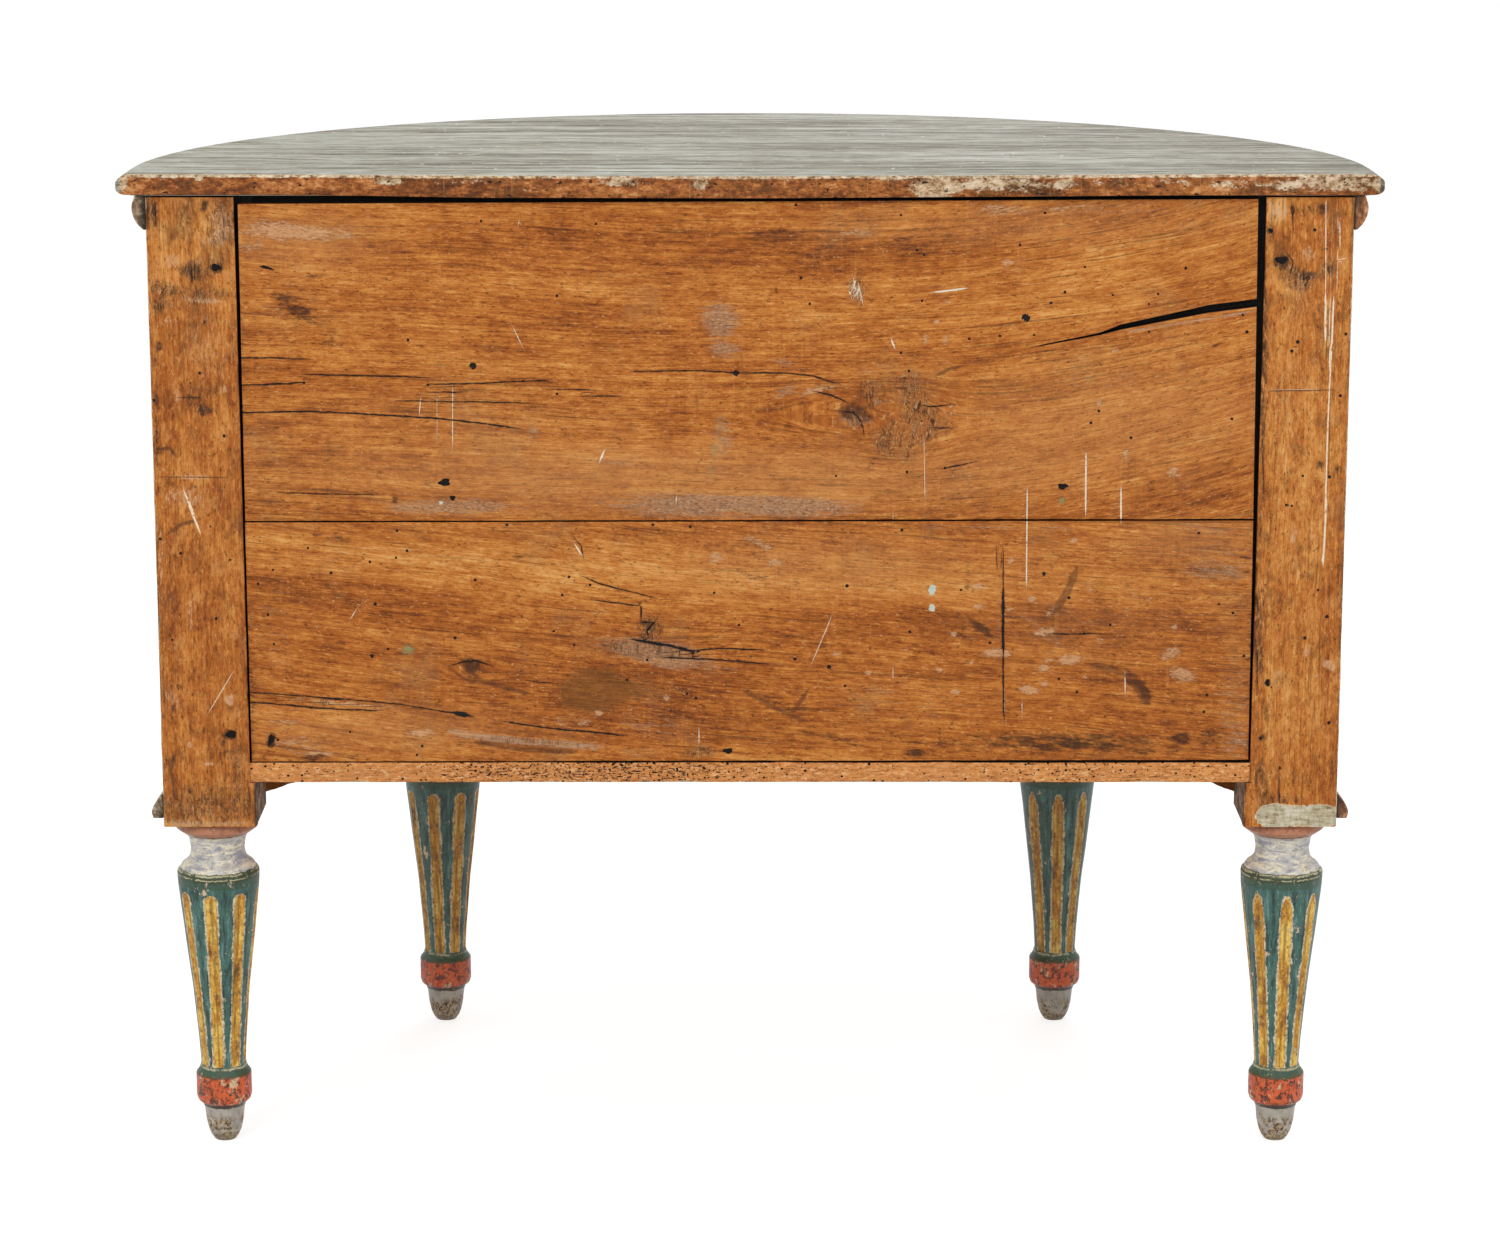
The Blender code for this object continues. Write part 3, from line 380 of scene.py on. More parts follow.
class Tree:
    """Node tree of one material, built by short calls."""

    def __init__(self, name):
        self.material = bpy.data.materials.new(name)
        self.material.use_nodes = True
        self.nodes = self.material.node_tree.nodes
        self.links = self.material.node_tree.links
        self.shader = self.nodes["Principled BSDF"]
        self.place = self.add("ShaderNodeTexCoord").outputs["Object"]

    def add(self, kind, *values, **settings):
        """Node of a kind, with its settings and its inputs in order."""
        node = self.nodes.new(kind)
        for setting, value in settings.items():
            setattr(node, setting, value)
        for socket, value in zip(node.inputs, values):
            self.feed(socket, value)
        return node

    def feed(self, socket, value):
        """Links a socket, or sets it, or leaves it where the value is None."""
        if isinstance(value, bpy.types.NodeSocket):
            self.links.new(value, socket)
        elif value is not None:
            socket.default_value = value

    def math(self, operation, *values):
        """Result of a sum on numbers."""
        return self.add("ShaderNodeMath", *values, operation=operation).outputs[0]

    def times(self, first, second):
        """Product of two numbers."""
        return self.math("MULTIPLY", first, second)

    def plus(self, first, second):
        """Sum of two numbers."""
        return self.math("ADD", first, second)

    def linear(self, value, slope, offset):
        """Value times a slope, plus an offset."""
        return self.math("MULTIPLY_ADD", value, slope, offset)

    def vector(self, operation, *values):
        """Result of a sum on vectors."""
        return self.add("ShaderNodeVectorMath", *values, operation=operation).outputs[0]

    def step(self, value, low, high):
        """0 below low, 1 above high and smooth between; the other way round if low is higher."""
        node = self.add("ShaderNodeMapRange", value, low, high, 0.0, 1.0)
        node.interpolation_type = "SMOOTHSTEP"
        return node.outputs[0]

    def field(self, name, output="Fac"):
        """Number or vector that a piece keeps for each of its points."""
        return self.add("ShaderNodeAttribute", attribute_name=name).outputs[output]

    def split(self, vector):
        """The three numbers of a vector."""
        return self.add("ShaderNodeSeparateXYZ", vector).outputs

    def join(self, *values):
        """Vector of three numbers."""
        return self.add("ShaderNodeCombineXYZ", *values).outputs[0]

    def scaled(self, place, factors):
        """Place times a number, or times one for each axis."""
        if not isinstance(factors, tuple):
            factors = (factors, factors, factors)
        return self.vector("MULTIPLY", place, factors)

    def noise(self, place, factors, detail=2.0, rough=0.5, warp=0.0):
        """Noise between 0 and 1, its lumps per metre given along each axis."""
        node = self.add("ShaderNodeTexNoise")
        self.feed(node.inputs["Vector"], self.scaled(place, factors))
        self.feed(node.inputs["Scale"], 1.0)
        self.feed(node.inputs["Detail"], detail)
        self.feed(node.inputs["Roughness"], rough)
        self.feed(node.inputs["Distortion"], warp)
        return node.outputs[0]

    def cells(self, place, factors):
        """Distance to the nearest of scattered points, and that point's own number."""
        node = self.add("ShaderNodeTexVoronoi")
        self.feed(node.inputs["Vector"], self.scaled(place, factors))
        self.feed(node.inputs["Scale"], 1.0)
        return node.outputs["Distance"], self.split(node.outputs["Color"])[0]

    def blend(self, first, second, *shares):
        """Colour between two colours, as near the second as the product of the shares."""
        *others, share = shares
        for other in reversed(others):
            share = self.times(other, share)
        node = self.add("ShaderNodeMix", data_type="RGBA")
        self.feed(node.inputs[0], share)
        self.feed(node.inputs[6], colour(first))
        self.feed(node.inputs[7], colour(second))
        return node.outputs[2]

    def ramp(self, value, stops, kind="LINEAR"):
        """Colour that a value picks from stops of a share and a colour."""
        node = self.add("ShaderNodeValToRGB", value)
        node.color_ramp.interpolation = kind
        elements = node.color_ramp.elements
        while len(elements) < len(stops):
            elements.new(1.0)
        for element, (share, shade) in zip(elements, stops):
            element.position = share
            element.color = colour(shade)
        return node.outputs[0]

    def total(self, *shares):
        """Sum of values, each times its weight, given as pairs."""
        result = 0.0
        for value, weight in shares:
            result = self.linear(value, weight, result)
        return result

    def finish(self, shade, height=None, distance=0.001, roughness=0.7, specular=0.3):
        """Connects the colour, the relief and the roughness to the surface."""
        self.feed(self.shader.inputs["Base Color"], shade)
        self.feed(self.shader.inputs["Roughness"], roughness)
        self.feed(self.shader.inputs["Specular IOR Level"], specular)
        if height is not None:
            bump = self.add("ShaderNodeBump")
            self.feed(bump.inputs["Distance"], distance)
            self.feed(bump.inputs["Height"], height)
            self.feed(self.shader.inputs["Normal"], bump.outputs["Normal"])
        return self.material

    def centred(self, *shares):
        """Half, plus each noise's distance from half times its weight, given as pairs."""
        weights = sum(share[1] for share in shares)
        return self.plus(self.total(*shares), 0.5 - weights / 2)

    def flaked(self, amount, flecks, reach, low, high):
        """Mask of a mark made of flecks, which close up where the mark is strong."""
        value = self.linear(flecks, reach, amount)
        return self.step(value, low + reach / 2, high + reach / 2)

    def between(self, value, low, high, softness):
        """1 between two limits and 0 beyond them, with soft borders."""
        above = self.step(value, low - softness, low + softness)
        below = self.step(value, high + softness, high - softness)
        return self.times(above, below)

    def within(self, name, rough=0.0, wave=0.0):
        """How far inside the lines of a piece a place is, in pixels, with rough and wavy edges."""
        signed, width = self.split(self.field(name, "Vector"))[:2]
        if wave:
            bend = self.noise(self.place, 80, 3.0, 0.6)
            signed = self.plus(signed, self.linear(bend, wave, -wave / 2))
            thickness = self.noise(self.place, 150, 2.0)
            width = self.times(width, self.linear(thickness, 1.9, -0.15))
        inside = self.math("SUBTRACT", width, self.math("ABSOLUTE", signed))
        if rough:
            edge = self.noise(self.place, 330, 3.0, 0.6)
            inside = self.plus(inside, self.linear(edge, rough, -rough / 2))
        return inside

    def stroke(self, name, softness=0.35, rough=0.0, wave=0.0):
        """Mask of the lines that a piece keeps as a signed distance and a half width."""
        return self.step(self.within(name, rough, wave), -softness, softness)


# Colours

PINE_STOPS = (
    (0.14, (92, 42, 8)), (0.34, (150, 78, 20)), (0.50, (182, 105, 37)),
    (0.66, (204, 133, 59)), (0.86, (228, 169, 98)),
)
PINE_DARK = (62, 32, 14)
# Black of holes and cracks, and of the painted shade in gaps and recesses
PINE_BLACK = (12, 8, 5)
PINE_GREY = (138, 108, 72)
PINE_PALE = (212, 166, 124)
PINE_WASH = (192, 135, 82)
PINE_BRIGHT = (218, 150, 80)
CREAM = (238, 218, 190)

# Shades of the body's paint, from its darkest streaks to its lightest
BODY_STOPS = (
    (0.28, (134, 136, 121)), (0.44, (160, 162, 146)),
    (0.58, (175, 177, 159)), (0.76, (197, 195, 177)),
)


# Surfaces

def pine(tree, grain, tone=None, streaks=1.0, mottles=1.0):
    """Colour and relief of old pine; the first coordinate runs along its grain."""
    broad = tree.noise(grain, (1.6, 13, 13), 3.0, 0.55)
    bands = tree.noise(grain, (1.3, 75, 45), 3.0, 0.6, 0.3)
    lines = tree.noise(grain, (8, 330, 200), 3.0, 0.65)
    fibre = tree.noise(grain, (40, 1000, 800), 2.0, 0.6)
    cloud = tree.noise(grain, (24, 62, 62), 5.0, 0.72)
    stain = tree.noise(grain, (110, 290, 290), 4.0, 0.75)
    value = tree.centred((broad, 0.42), (bands, 0.40 * streaks), (lines, 0.44 * streaks),
                         (fibre, 0.52 * streaks), (cloud, 0.62 * mottles), (stain, 0.72 * mottles))
    if tone is not None:
        value = tree.plus(value, tone)
    shade = tree.ramp(value, PINE_STOPS)
    hairs = tree.noise(grain, (10, 480, 300), 3.0, 0.6)
    patches = tree.noise(grain, (3, 26, 26), 2.0)
    hairs = tree.step(tree.linear(patches, 0.25, hairs), 0.74, 0.85)
    shade = tree.blend(shade, PINE_DARK, hairs, 0.55 * streaks)
    grime = tree.noise(tree.place, 15, 6.0, 0.72)
    shade = tree.blend(shade, PINE_GREY, tree.step(grime, 0.52, 0.74), 0.34)
    specks = tree.noise(grain, (200, 520, 500), 3.0, 0.7)
    dark_specks = tree.times(tree.step(specks, 0.60, 0.69), 0.72)
    shade = tree.blend(shade, PINE_DARK, dark_specks)
    shade = tree.blend(shade, (232, 178, 114), tree.step(specks, 0.40, 0.31), 0.50)
    return shade, tree.total((lines, 0.6), (fibre, 0.5), (hairs, -0.4), (dark_specks, -0.5),
                             (stain, 0.4))


def round_holes(tree, shade, height):
    """Worm holes of a piece, each with its own place and radius."""
    axes = tree.split(tree.place)
    centre_x, centre_z, radius = tree.split(tree.field("holes", "Vector"))
    centre = tree.join(centre_x, 0.0, centre_z)
    away = tree.vector("SUBTRACT", tree.join(axes[0], 0.0, axes[2]), centre)
    distance = tree.add("ShaderNodeVectorMath", away, operation="LENGTH").outputs["Value"]
    rim = tree.noise(tree.place, 420, 2.0)
    distance = tree.plus(distance, tree.linear(rim, 0.0012, -0.0006))
    holes = tree.step(tree.math("SUBTRACT", tree.times(radius, 1.18), distance), -0.0002, 0.0002)
    holes = tree.times(holes, tree.step(radius, 0.0001, 0.0002))
    return tree.blend(shade, PINE_BLACK, holes), tree.total((height, 1.0), (holes, -3.0))


def torn_fibres(tree, shade, height):
    """Short light and dark splinters where a piece's wood is torn."""
    torn = tree.field("torn")
    splinters = tree.noise(tree.place, (400, 40, 120), 5.0, 0.80, 0.9)
    shade = tree.blend(shade, (148, 94, 54), torn, 0.30)
    light = tree.times(tree.step(splinters, 0.485, 0.445), torn)
    shade = tree.blend(shade, (214, 160, 110), light, 0.66)
    gouges = tree.noise(tree.place, (230, 40, 84), 5.0, 0.76, 0.8)
    dark = tree.times(tree.step(gouges, 0.550, 0.585), torn)
    shade = tree.blend(shade, (48, 30, 18), dark, 0.84)
    return shade, tree.total((height, 1.0), (light, 0.8), (dark, -1.6))


def worm_holes(tree, shade, height, factors, share=0.3, size=0.05):
    """Scattered small round holes."""
    distance, number = tree.cells(tree.place, factors)
    radius = tree.times(tree.step(number, 1 - share, 1.0), size)
    holes = tree.step(tree.math("SUBTRACT", radius, distance), -size * 0.15, size * 0.15)
    return tree.blend(shade, PINE_BLACK, holes), tree.total((holes, -2.0), (height, 1.0))


def inner_pine(name, order, dirt=PINE_GREY, share=0.25):
    """Plain old pine for the inside, its grain along one of the axes, with painted shade behind the
    boards.
    """
    tree = Tree(name)
    axes = tree.split(tree.place)
    grain = tree.join(*(axes[index] for index in order))
    shade, height = pine(tree, grain)
    shade, height = worm_holes(tree, shade, height, 34, 0.35)
    shade = tree.blend(shade, dirt, share)
    # Painted shade: black where an inner piece reaches back past the rabbets' ledge, behind the
    # boards
    recess_shade = tree.step(axes[1], LEDGE_Y - 0.0030, LEDGE_Y - 0.0005)
    shade = tree.blend(shade, PINE_BLACK, recess_shade)
    return tree.finish(shade, height, 0.0006, 0.8, 0.2)


def pale_flakes(tree, grain, shade, factor=1.0):
    """Rubbed and flaked pale spots of a piece, full of finer flecks; also their mask."""
    flecks = tree.noise(grain, (130, 430, 420), 5.0, 0.78)
    fine = tree.noise(grain, (280, 760, 740), 4.0, 0.80)
    pale = tree.flaked(tree.field("pale"), flecks, 2.2, 0.30, 0.52)
    cover = tree.linear(tree.step(fine, 0.38, 0.58), 0.52 * factor, 0.24 * factor)
    return tree.blend(shade, PINE_PALE, pale, cover), pale


def board_pine():
    """Pine of the back boards with all the marks that the photograph shows."""
    tree = Tree("old_pine_back")
    grain = tree.field("grain", "Vector")
    shade, height = pine(tree, grain, tree.field("tone"))
    flecks = tree.noise(grain, (130, 430, 420), 4.0, 0.75)
    lumps = tree.noise(grain, (60, 240, 240), 5.0, 0.7)
    sawn = tree.step(tree.noise(tree.place, (9, 9, 22), 2.0), 0.46, 0.62)
    saw = tree.noise(tree.place, (430, 40, 26), 3.0, 0.7)
    cuts = tree.times(sawn, tree.step(saw, 0.54, 0.74))
    shade = tree.blend(shade, PINE_DARK, cuts, 0.26)
    ridges = tree.times(sawn, tree.step(saw, 0.44, 0.26))
    shade = tree.blend(shade, PINE_BRIGHT, ridges, 0.24)
    wash = tree.times(tree.field("wash"), tree.linear(lumps, 1.2, 0.4))
    shade = tree.blend(shade, PINE_WASH, wash)
    fibrous = tree.noise(grain, (34, 560, 460), 5.0, 0.76)
    grey = tree.flaked(tree.field("grey"), fibrous, 2.4, 0.26, 0.70)
    shade = tree.blend(shade, (162, 128, 98), grey, 0.62)
    peppered = tree.noise(grain, (260, 620, 600), 4.0, 0.78)
    salt = tree.times(grey, tree.step(peppered, 0.46, 0.38))
    shade = tree.blend(shade, (208, 176, 142), salt, 0.5)
    pepper = tree.times(grey, tree.step(peppered, 0.54, 0.62))
    shade = tree.blend(shade, (84, 54, 34), pepper, 0.7)
    olive = tree.flaked(tree.field("olive"), lumps, 1.0, 0.22, 0.62)
    shade = tree.blend(shade, (112, 70, 26), olive, 0.62)
    scrapes = tree.step(tree.within("scrapes", 3.2), -1.2, 1.4)
    scraped = tree.step(tree.noise(grain, (70, 640, 560), 5.0, 0.78), 0.42, 0.56)
    shade = tree.blend(shade, (190, 157, 126), scrapes, tree.linear(scraped, 0.64, 0.16))
    shade, pale = pale_flakes(tree, grain, shade)
    dark = tree.flaked(tree.field("dark"), lumps, 2.4, 0.26, 0.80)
    dark = tree.times(dark, tree.linear(tree.step(peppered, 0.36, 0.56), 0.5, 0.42))
    shade = tree.blend(shade, (62, 33, 17), dark)
    smears = tree.step(tree.within("smears", 1.8), -1.4, 1.0)
    shade = tree.blend(shade, (84, 46, 22), smears, tree.linear(lumps, 0.7, 0.25))
    shade, height = torn_fibres(tree, shade, height)
    green = tree.times(tree.field("green"), tree.step(flecks, 0.36, 0.56))
    shade = tree.blend(shade, (112, 150, 104), green)
    sky = tree.flaked(tree.field("sky"), flecks, 1.2, 0.34, 0.5)
    shade = tree.blend(shade, (196, 204, 190), sky)
    drips = tree.stroke("drips", 0.3, 0.8)
    drips = tree.times(drips, tree.step(tree.noise(tree.place, 260, 3.0, 0.6), 0.30, 0.42))
    shade = tree.blend(shade, CREAM, drips)
    # Painted shade: a brown halo along the lips of the cracks
    stain = tree.step(tree.within("cracks", 1.6, 2.2), -1.5, 0.2)
    shade = tree.blend(shade, PINE_DARK, stain, 0.45)
    cracks = tree.stroke("cracks", 0.3, 1.0, 2.2)
    shade = tree.blend(shade, PINE_BLACK, cracks)
    shade, height = round_holes(tree, shade, height)
    height = tree.total((height, 1.0), (cracks, -3.0), (drips, 0.6), (dark, -0.6), (pale, 0.3),
                        (scrapes, -0.4))
    # Painted shade: black deep inside the board's face and on the walls of the open crack
    depth = tree.math("SUBTRACT", UPPER_BOARD_HIGH.y, tree.split(tree.place)[1])
    recess_shade = tree.between(depth, 0.0023, UPPER_BOARD_HIGH.y - UPPER_BOARD_LOW.y - 0.0008, 0.0006)
    wall = tree.step(tree.field("open"), 0.80, 0.95)
    shade = tree.blend(shade, PINE_BLACK, tree.math("MAXIMUM", recess_shade, wall))
    return tree.finish(shade, height, 0.0008, 0.68, 0.24)


def worn_paint(tree):
    """Colour and relief of the body's dry paint, brushed upright and rubbed to its cream ground."""
    cloud = tree.noise(tree.place, (26, 26, 9), 4.0, 0.6)
    mottle = tree.noise(tree.place, 70, 4.0, 0.68)
    brushed = tree.noise(tree.place, (260, 260, 20), 3.0, 0.6)
    shade = tree.ramp(tree.centred((cloud, 0.8), (mottle, 0.8), (brushed, 0.8)), BODY_STOPS)
    crackle = tree.noise(tree.place, (420, 420, 420), 3.0, 0.7)
    shade = tree.blend(shade, CREAM, tree.step(crackle, 0.6, 0.75), 0.3)
    return shade, tree.total((mottle, 0.5), (brushed, 0.4), (crackle, 0.5))


def chipped(tree, shade, height, worn, wood):
    """Chips in a coat of paint: a cream rim round bare wood, more of them where worn."""
    amount = tree.plus(tree.noise(tree.place, 55, 6.0, 0.68), worn)
    ground = tree.step(amount, 0.62, 0.65)
    bare = tree.step(amount, 0.67, 0.70)
    shade = tree.blend(shade, CREAM, ground)
    shade = tree.blend(shade, wood, bare)
    return shade, tree.total((height, 1.0), (ground, -0.8), (bare, -0.8))


def body_paint(name, lined=False):
    """Pale paint of the body where a piece is painted, and bare pine elsewhere."""
    tree = Tree(name)
    x, y, z = tree.split(tree.place)
    wood = pine(tree, tree.join(z, x, y))[0]
    shade, height = worn_paint(tree)
    if lined:
        lining = tree.stroke("lining", 0.0004)
        shade = tree.blend(shade, (186, 140, 58), lining, 0.85)
    shade, height = chipped(tree, shade, height, tree.field("worn"), wood)
    painted = tree.step(tree.field("painted"), 0.45, 0.55)
    shade = tree.blend(wood, shade, painted)
    dirt = tree.noise(tree.place, (230, 230, 170), 5.0, 0.72)
    crust = tree.ramp(dirt, (
        (0.30, (46, 32, 22)), (0.42, (114, 86, 60)), (0.51, (158, 132, 100)),
        (0.59, (200, 180, 146)), (0.71, (230, 216, 190)),
    ))
    shade = tree.blend(shade, crust, tree.field("crust"))
    bare_end = tree.ramp(dirt, (
        (0.32, (52, 26, 14)), (0.44, (132, 70, 32)), (0.54, (186, 112, 60)),
        (0.70, (226, 178, 134)),
    ))
    shade = tree.blend(shade, bare_end, tree.field("bare"))
    # Painted shade: black in the gap where a moulding meets the rear post
    shade = tree.blend(shade, PINE_BLACK, tree.field("gap"))
    return tree.finish(shade, height, 0.0006, 0.62, 0.3)


def post_pine():
    """Upright pine of a rear post, bare behind and painted round its outer side."""
    tree = Tree("old_pine_post")
    grain = tree.field("grain", "Vector")
    wood, height = pine(tree, grain, tree.field("tone"), 0.72, 1.2)
    lumps = tree.noise(tree.place, (150, 150, 70), 5.0, 0.74)
    blotch = tree.noise(tree.place, (42, 42, 26), 6.0, 0.74)
    wood = tree.blend(wood, (96, 58, 24), tree.step(blotch, 0.51, 0.68), 0.62)
    wood = tree.blend(wood, (218, 154, 84), tree.step(blotch, 0.48, 0.34), 0.48)
    dirt = tree.noise(tree.place, (240, 240, 150), 5.0, 0.76)
    wood = tree.blend(wood, (84, 50, 26), tree.step(dirt, 0.57, 0.66), 0.5)
    dark = tree.flaked(tree.field("dark"), lumps, 2.2, 0.26, 0.76)
    dark = tree.times(dark, tree.linear(tree.step(dirt, 0.36, 0.56), 0.5, 0.42))
    wood = tree.blend(wood, (54, 32, 18), dark)
    wood = pale_flakes(tree, grain, wood, 1.12)[0]
    smears = tree.step(tree.within("smears", 1.8), -1.4, 1.0)
    wood = tree.blend(wood, (76, 44, 22), smears, tree.linear(lumps, 0.9, 0.2))
    wood, height = torn_fibres(tree, wood, height)
    wood, height = worm_holes(tree, wood, height, (70, 70, 55), 0.3)
    wood, height = round_holes(tree, wood, height)
    drips = tree.times(tree.stroke("drips", 0.3, 0.8),
                      tree.step(tree.noise(tree.place, (230, 230, 90), 2.0), 0.28, 0.40))
    wood = tree.blend(wood, CREAM, drips)
    # Painted shade: a brown halo along the lips of the cracks
    stain = tree.step(tree.within("cracks", 1.6, 1.6), -1.5, 0.2)
    wood = tree.blend(wood, PINE_DARK, stain, 0.45)
    wood = tree.blend(wood, PINE_BLACK, tree.stroke("cracks", 0.3, 1.0, 1.6))
    crumbs = tree.noise(tree.place, (260, 260, 90), 5.0, 0.80)
    border = tree.ramp(crumbs, (
        (0.32, (44, 26, 14)), (0.45, (104, 62, 28)), (0.54, (166, 102, 46)),
        (0.66, (230, 166, 98)),
    ))
    gnawed = tree.noise(tree.place, (170, 170, 44), 5.0, 0.76)
    eaten = tree.flaked(tree.field("eaten"), gnawed, 3.2, 0.40, 0.62)
    wood = tree.blend(wood, border, eaten, 0.9)
    flaking = tree.noise(tree.place, (200, 30, 60), 6.0, 0.80)
    primer = tree.ramp(flaking, (
        (0.38, (46, 30, 18)), (0.49, (104, 72, 46)), (0.57, (152, 124, 94)),
        (0.68, (210, 194, 166)),
    ))
    wood = tree.blend(wood, primer, tree.field("primed"))
    brushed = tree.noise(tree.place, (60, 60, 300), 5.0, 0.78)
    paint = tree.ramp(tree.centred((brushed, 1.2), (crumbs, 0.8)), (
        (0.28, (132, 108, 76)), (0.41, (177, 163, 130)), (0.55, (197, 187, 160)),
        (0.72, (222, 213, 192)),
    ))
    behind = tree.step(tree.split(tree.place)[1], REAR_Y - 0.005, REAR_Y - 0.003)
    paint = tree.blend(worn_paint(tree)[0], paint, behind)
    ragged = tree.centred((brushed, 0.9), (gnawed, 0.7))
    coat = tree.math("SUBTRACT", tree.field("painted"), tree.times(ragged, 0.9))
    shade = tree.blend(wood, CREAM, tree.step(coat, -0.02, 0.02))
    shade = tree.blend(shade, paint, tree.step(coat, 0.03, 0.07))
    # Painted shade: black in the rabbet, in the gap beside the back boards' ends
    shade = tree.blend(shade, PINE_BLACK, tree.field("recess_shade"))
    return tree.finish(shade, height, 0.0009, 0.70, 0.28)


def edge_pine():
    """Worm-eaten edge of the bottom board."""
    tree = Tree("old_pine_edge")
    shade, height = pine(tree, tree.place)
    shade = tree.blend(shade, (234, 162, 98), 0.5)
    crumbs = tree.noise(tree.place, (110, 200, 300), 5.0, 0.75)
    shade = tree.blend(shade, (246, 200, 146), tree.step(crumbs, 0.52, 0.62), 0.62)
    shade = tree.blend(shade, (136, 76, 34), tree.step(crumbs, 0.46, 0.36), 0.66)
    shade, height = worm_holes(tree, shade, height, (240, 100, 260), 0.42, 0.30)
    worm = tree.noise(tree.place, (120, 200, 620), 3.0, 0.65)
    dashes = tree.step(tree.linear(tree.field("wormy"), 0.11, worm), 0.675, 0.70)
    pricks = tree.noise(tree.place, (380, 200, 420), 2.0, 0.6)
    pricked = tree.step(tree.linear(tree.field("wormy"), 0.12, pricks), 0.70, 0.73)
    eaten = tree.math("MAXIMUM", dashes, pricked)
    shade = tree.blend(shade, (44, 22, 12), eaten)
    # Painted shade: black where the worm-eaten edge is carved deepest
    rim = tree.step(tree.field("eaten"), 0.2, 0.6)
    shade = tree.blend(shade, PINE_BLACK, rim)
    height = tree.total((height, 1.0), (eaten, -2.0), (crumbs, 0.6))
    return tree.finish(shade, height, 0.0009, 0.78, 0.22)


def top_paint():
    """Grey paint of the top, streaked along its length, and bare dark wood at its rear edge."""
    tree = Tree("top_paint")
    broad = tree.noise(tree.place, (2.2, 14, 20), 4.0, 0.6)
    streaks = tree.noise(tree.place, (3.6, 110, 60), 5.0, 0.72)
    fine = tree.noise(tree.place, (15, 420, 260), 4.0, 0.75)
    mottle = tree.noise(tree.place, (38, 75, 60), 5.0, 0.72)
    value = tree.centred((broad, 0.8), (streaks, 1.3), (fine, 1.3), (mottle, 0.7))
    # Painted shade: the grey darkens steadily towards the chest's left end (-X) and lightens
    # towards its right, for the fall of the light
    value = tree.plus(value, tree.linear(tree.split(tree.place)[0], 0.22, -0.042))
    shade = tree.ramp(value, (
        (0.22, (84, 76, 56)), (0.37, (128, 123, 103)), (0.50, (160, 157, 141)),
        (0.62, (178, 177, 164)), (0.80, (206, 206, 195)),
    ))
    brown = tree.noise(tree.place, (4.0, 130, 60), 5.0, 0.74)
    shade = tree.blend(shade, (112, 100, 76), tree.step(brown, 0.54, 0.66), 0.62)
    dark = tree.step(tree.noise(tree.place, (14, 240, 100), 4.0, 0.76), 0.57, 0.65)
    shade = tree.blend(shade, (80, 70, 50), dark, 0.70)
    joint = tree.stroke("joints", 0.5, 1.2)
    shade = tree.blend(shade, (74, 62, 44), joint, tree.step(fine, 0.30, 0.56))
    ochre = tree.step(tree.noise(tree.place, (7, 90, 90), 4.0, 0.72), 0.60, 0.70)
    shade = tree.blend(shade, (172, 154, 104), ochre, 0.45)
    flecks = tree.noise(tree.place, (130, 70, 90), 4.0, 0.74)
    clusters = tree.noise(tree.place, (9, 9, 9), 2.0)
    chips = tree.step(tree.linear(clusters, 0.16, flecks), 0.745, 0.765)
    shade = tree.blend(shade, (226, 220, 200), chips)
    lift = tree.centred((tree.noise(tree.place, (60, 90, 240), 5.0, 0.74), 1.3))
    arris = tree.step(tree.plus(tree.field("arris"), lift), 0.96, 1.04)
    rough = tree.noise(tree.place, (190, 230, 260), 5.0, 0.76)
    worn = tree.ramp(rough, (
        (0.36, (84, 56, 32)), (0.45, (176, 140, 100)), (0.54, (216, 194, 162)),
        (0.66, (232, 220, 198)),
    ))
    shade = tree.blend(shade, worn, arris)
    wood, wood_height = pine(tree, tree.place)
    blotch = tree.noise(tree.place, (55, 90, 120), 6.0, 0.78)
    long_tone = tree.noise(tree.place, (9, 9, 30), 3.0, 0.6)
    bare = tree.ramp(tree.centred((blotch, 1.5), (rough, 0.9), (long_tone, 0.5)), (
        (0.20, (30, 16, 9)), (0.38, (84, 43, 18)), (0.50, (134, 74, 33)),
        (0.62, (172, 104, 50)), (0.78, (210, 154, 100)),
    ))
    bare = tree.blend(bare, wood, 0.18)
    scratches = tree.step(tree.noise(tree.place, (420, 60, 30), 3.0, 0.65), 0.62, 0.70)
    bare = tree.blend(bare, (202, 148, 96), scratches, 0.38)
    paint = tree.flaked(tree.field("paint"), rough, 1.5, 0.24, 0.44)
    crust = tree.ramp(tree.centred((blotch, 1.0), (rough, 0.8)), (
        (0.32, (100, 66, 38)), (0.44, (170, 138, 102)), (0.54, (208, 186, 152)),
        (0.68, (230, 214, 188)),
    ))
    bare = tree.blend(bare, crust, paint, 0.80)
    pits = tree.step(tree.noise(tree.place, (150, 200, 260), 3.0, 0.62), 0.645, 0.675)
    bare = tree.blend(bare, PINE_BLACK, pits)
    face = tree.step(tree.plus(tree.field("face"), lift), 0.96, 1.02)
    shade = tree.blend(shade, bare, face)
    rim = tree.step(tree.plus(tree.field("rim"), lift), 1.02, 1.12)
    shade = tree.blend(shade, worn, rim)
    height = tree.total((fine, 0.4), (streaks, 0.3), (wood_height, 0.3), (pits, -1.0),
                        (paint, 0.4), (blotch, 0.5))
    return tree.finish(shade, height, 0.0007, 0.62, 0.22)


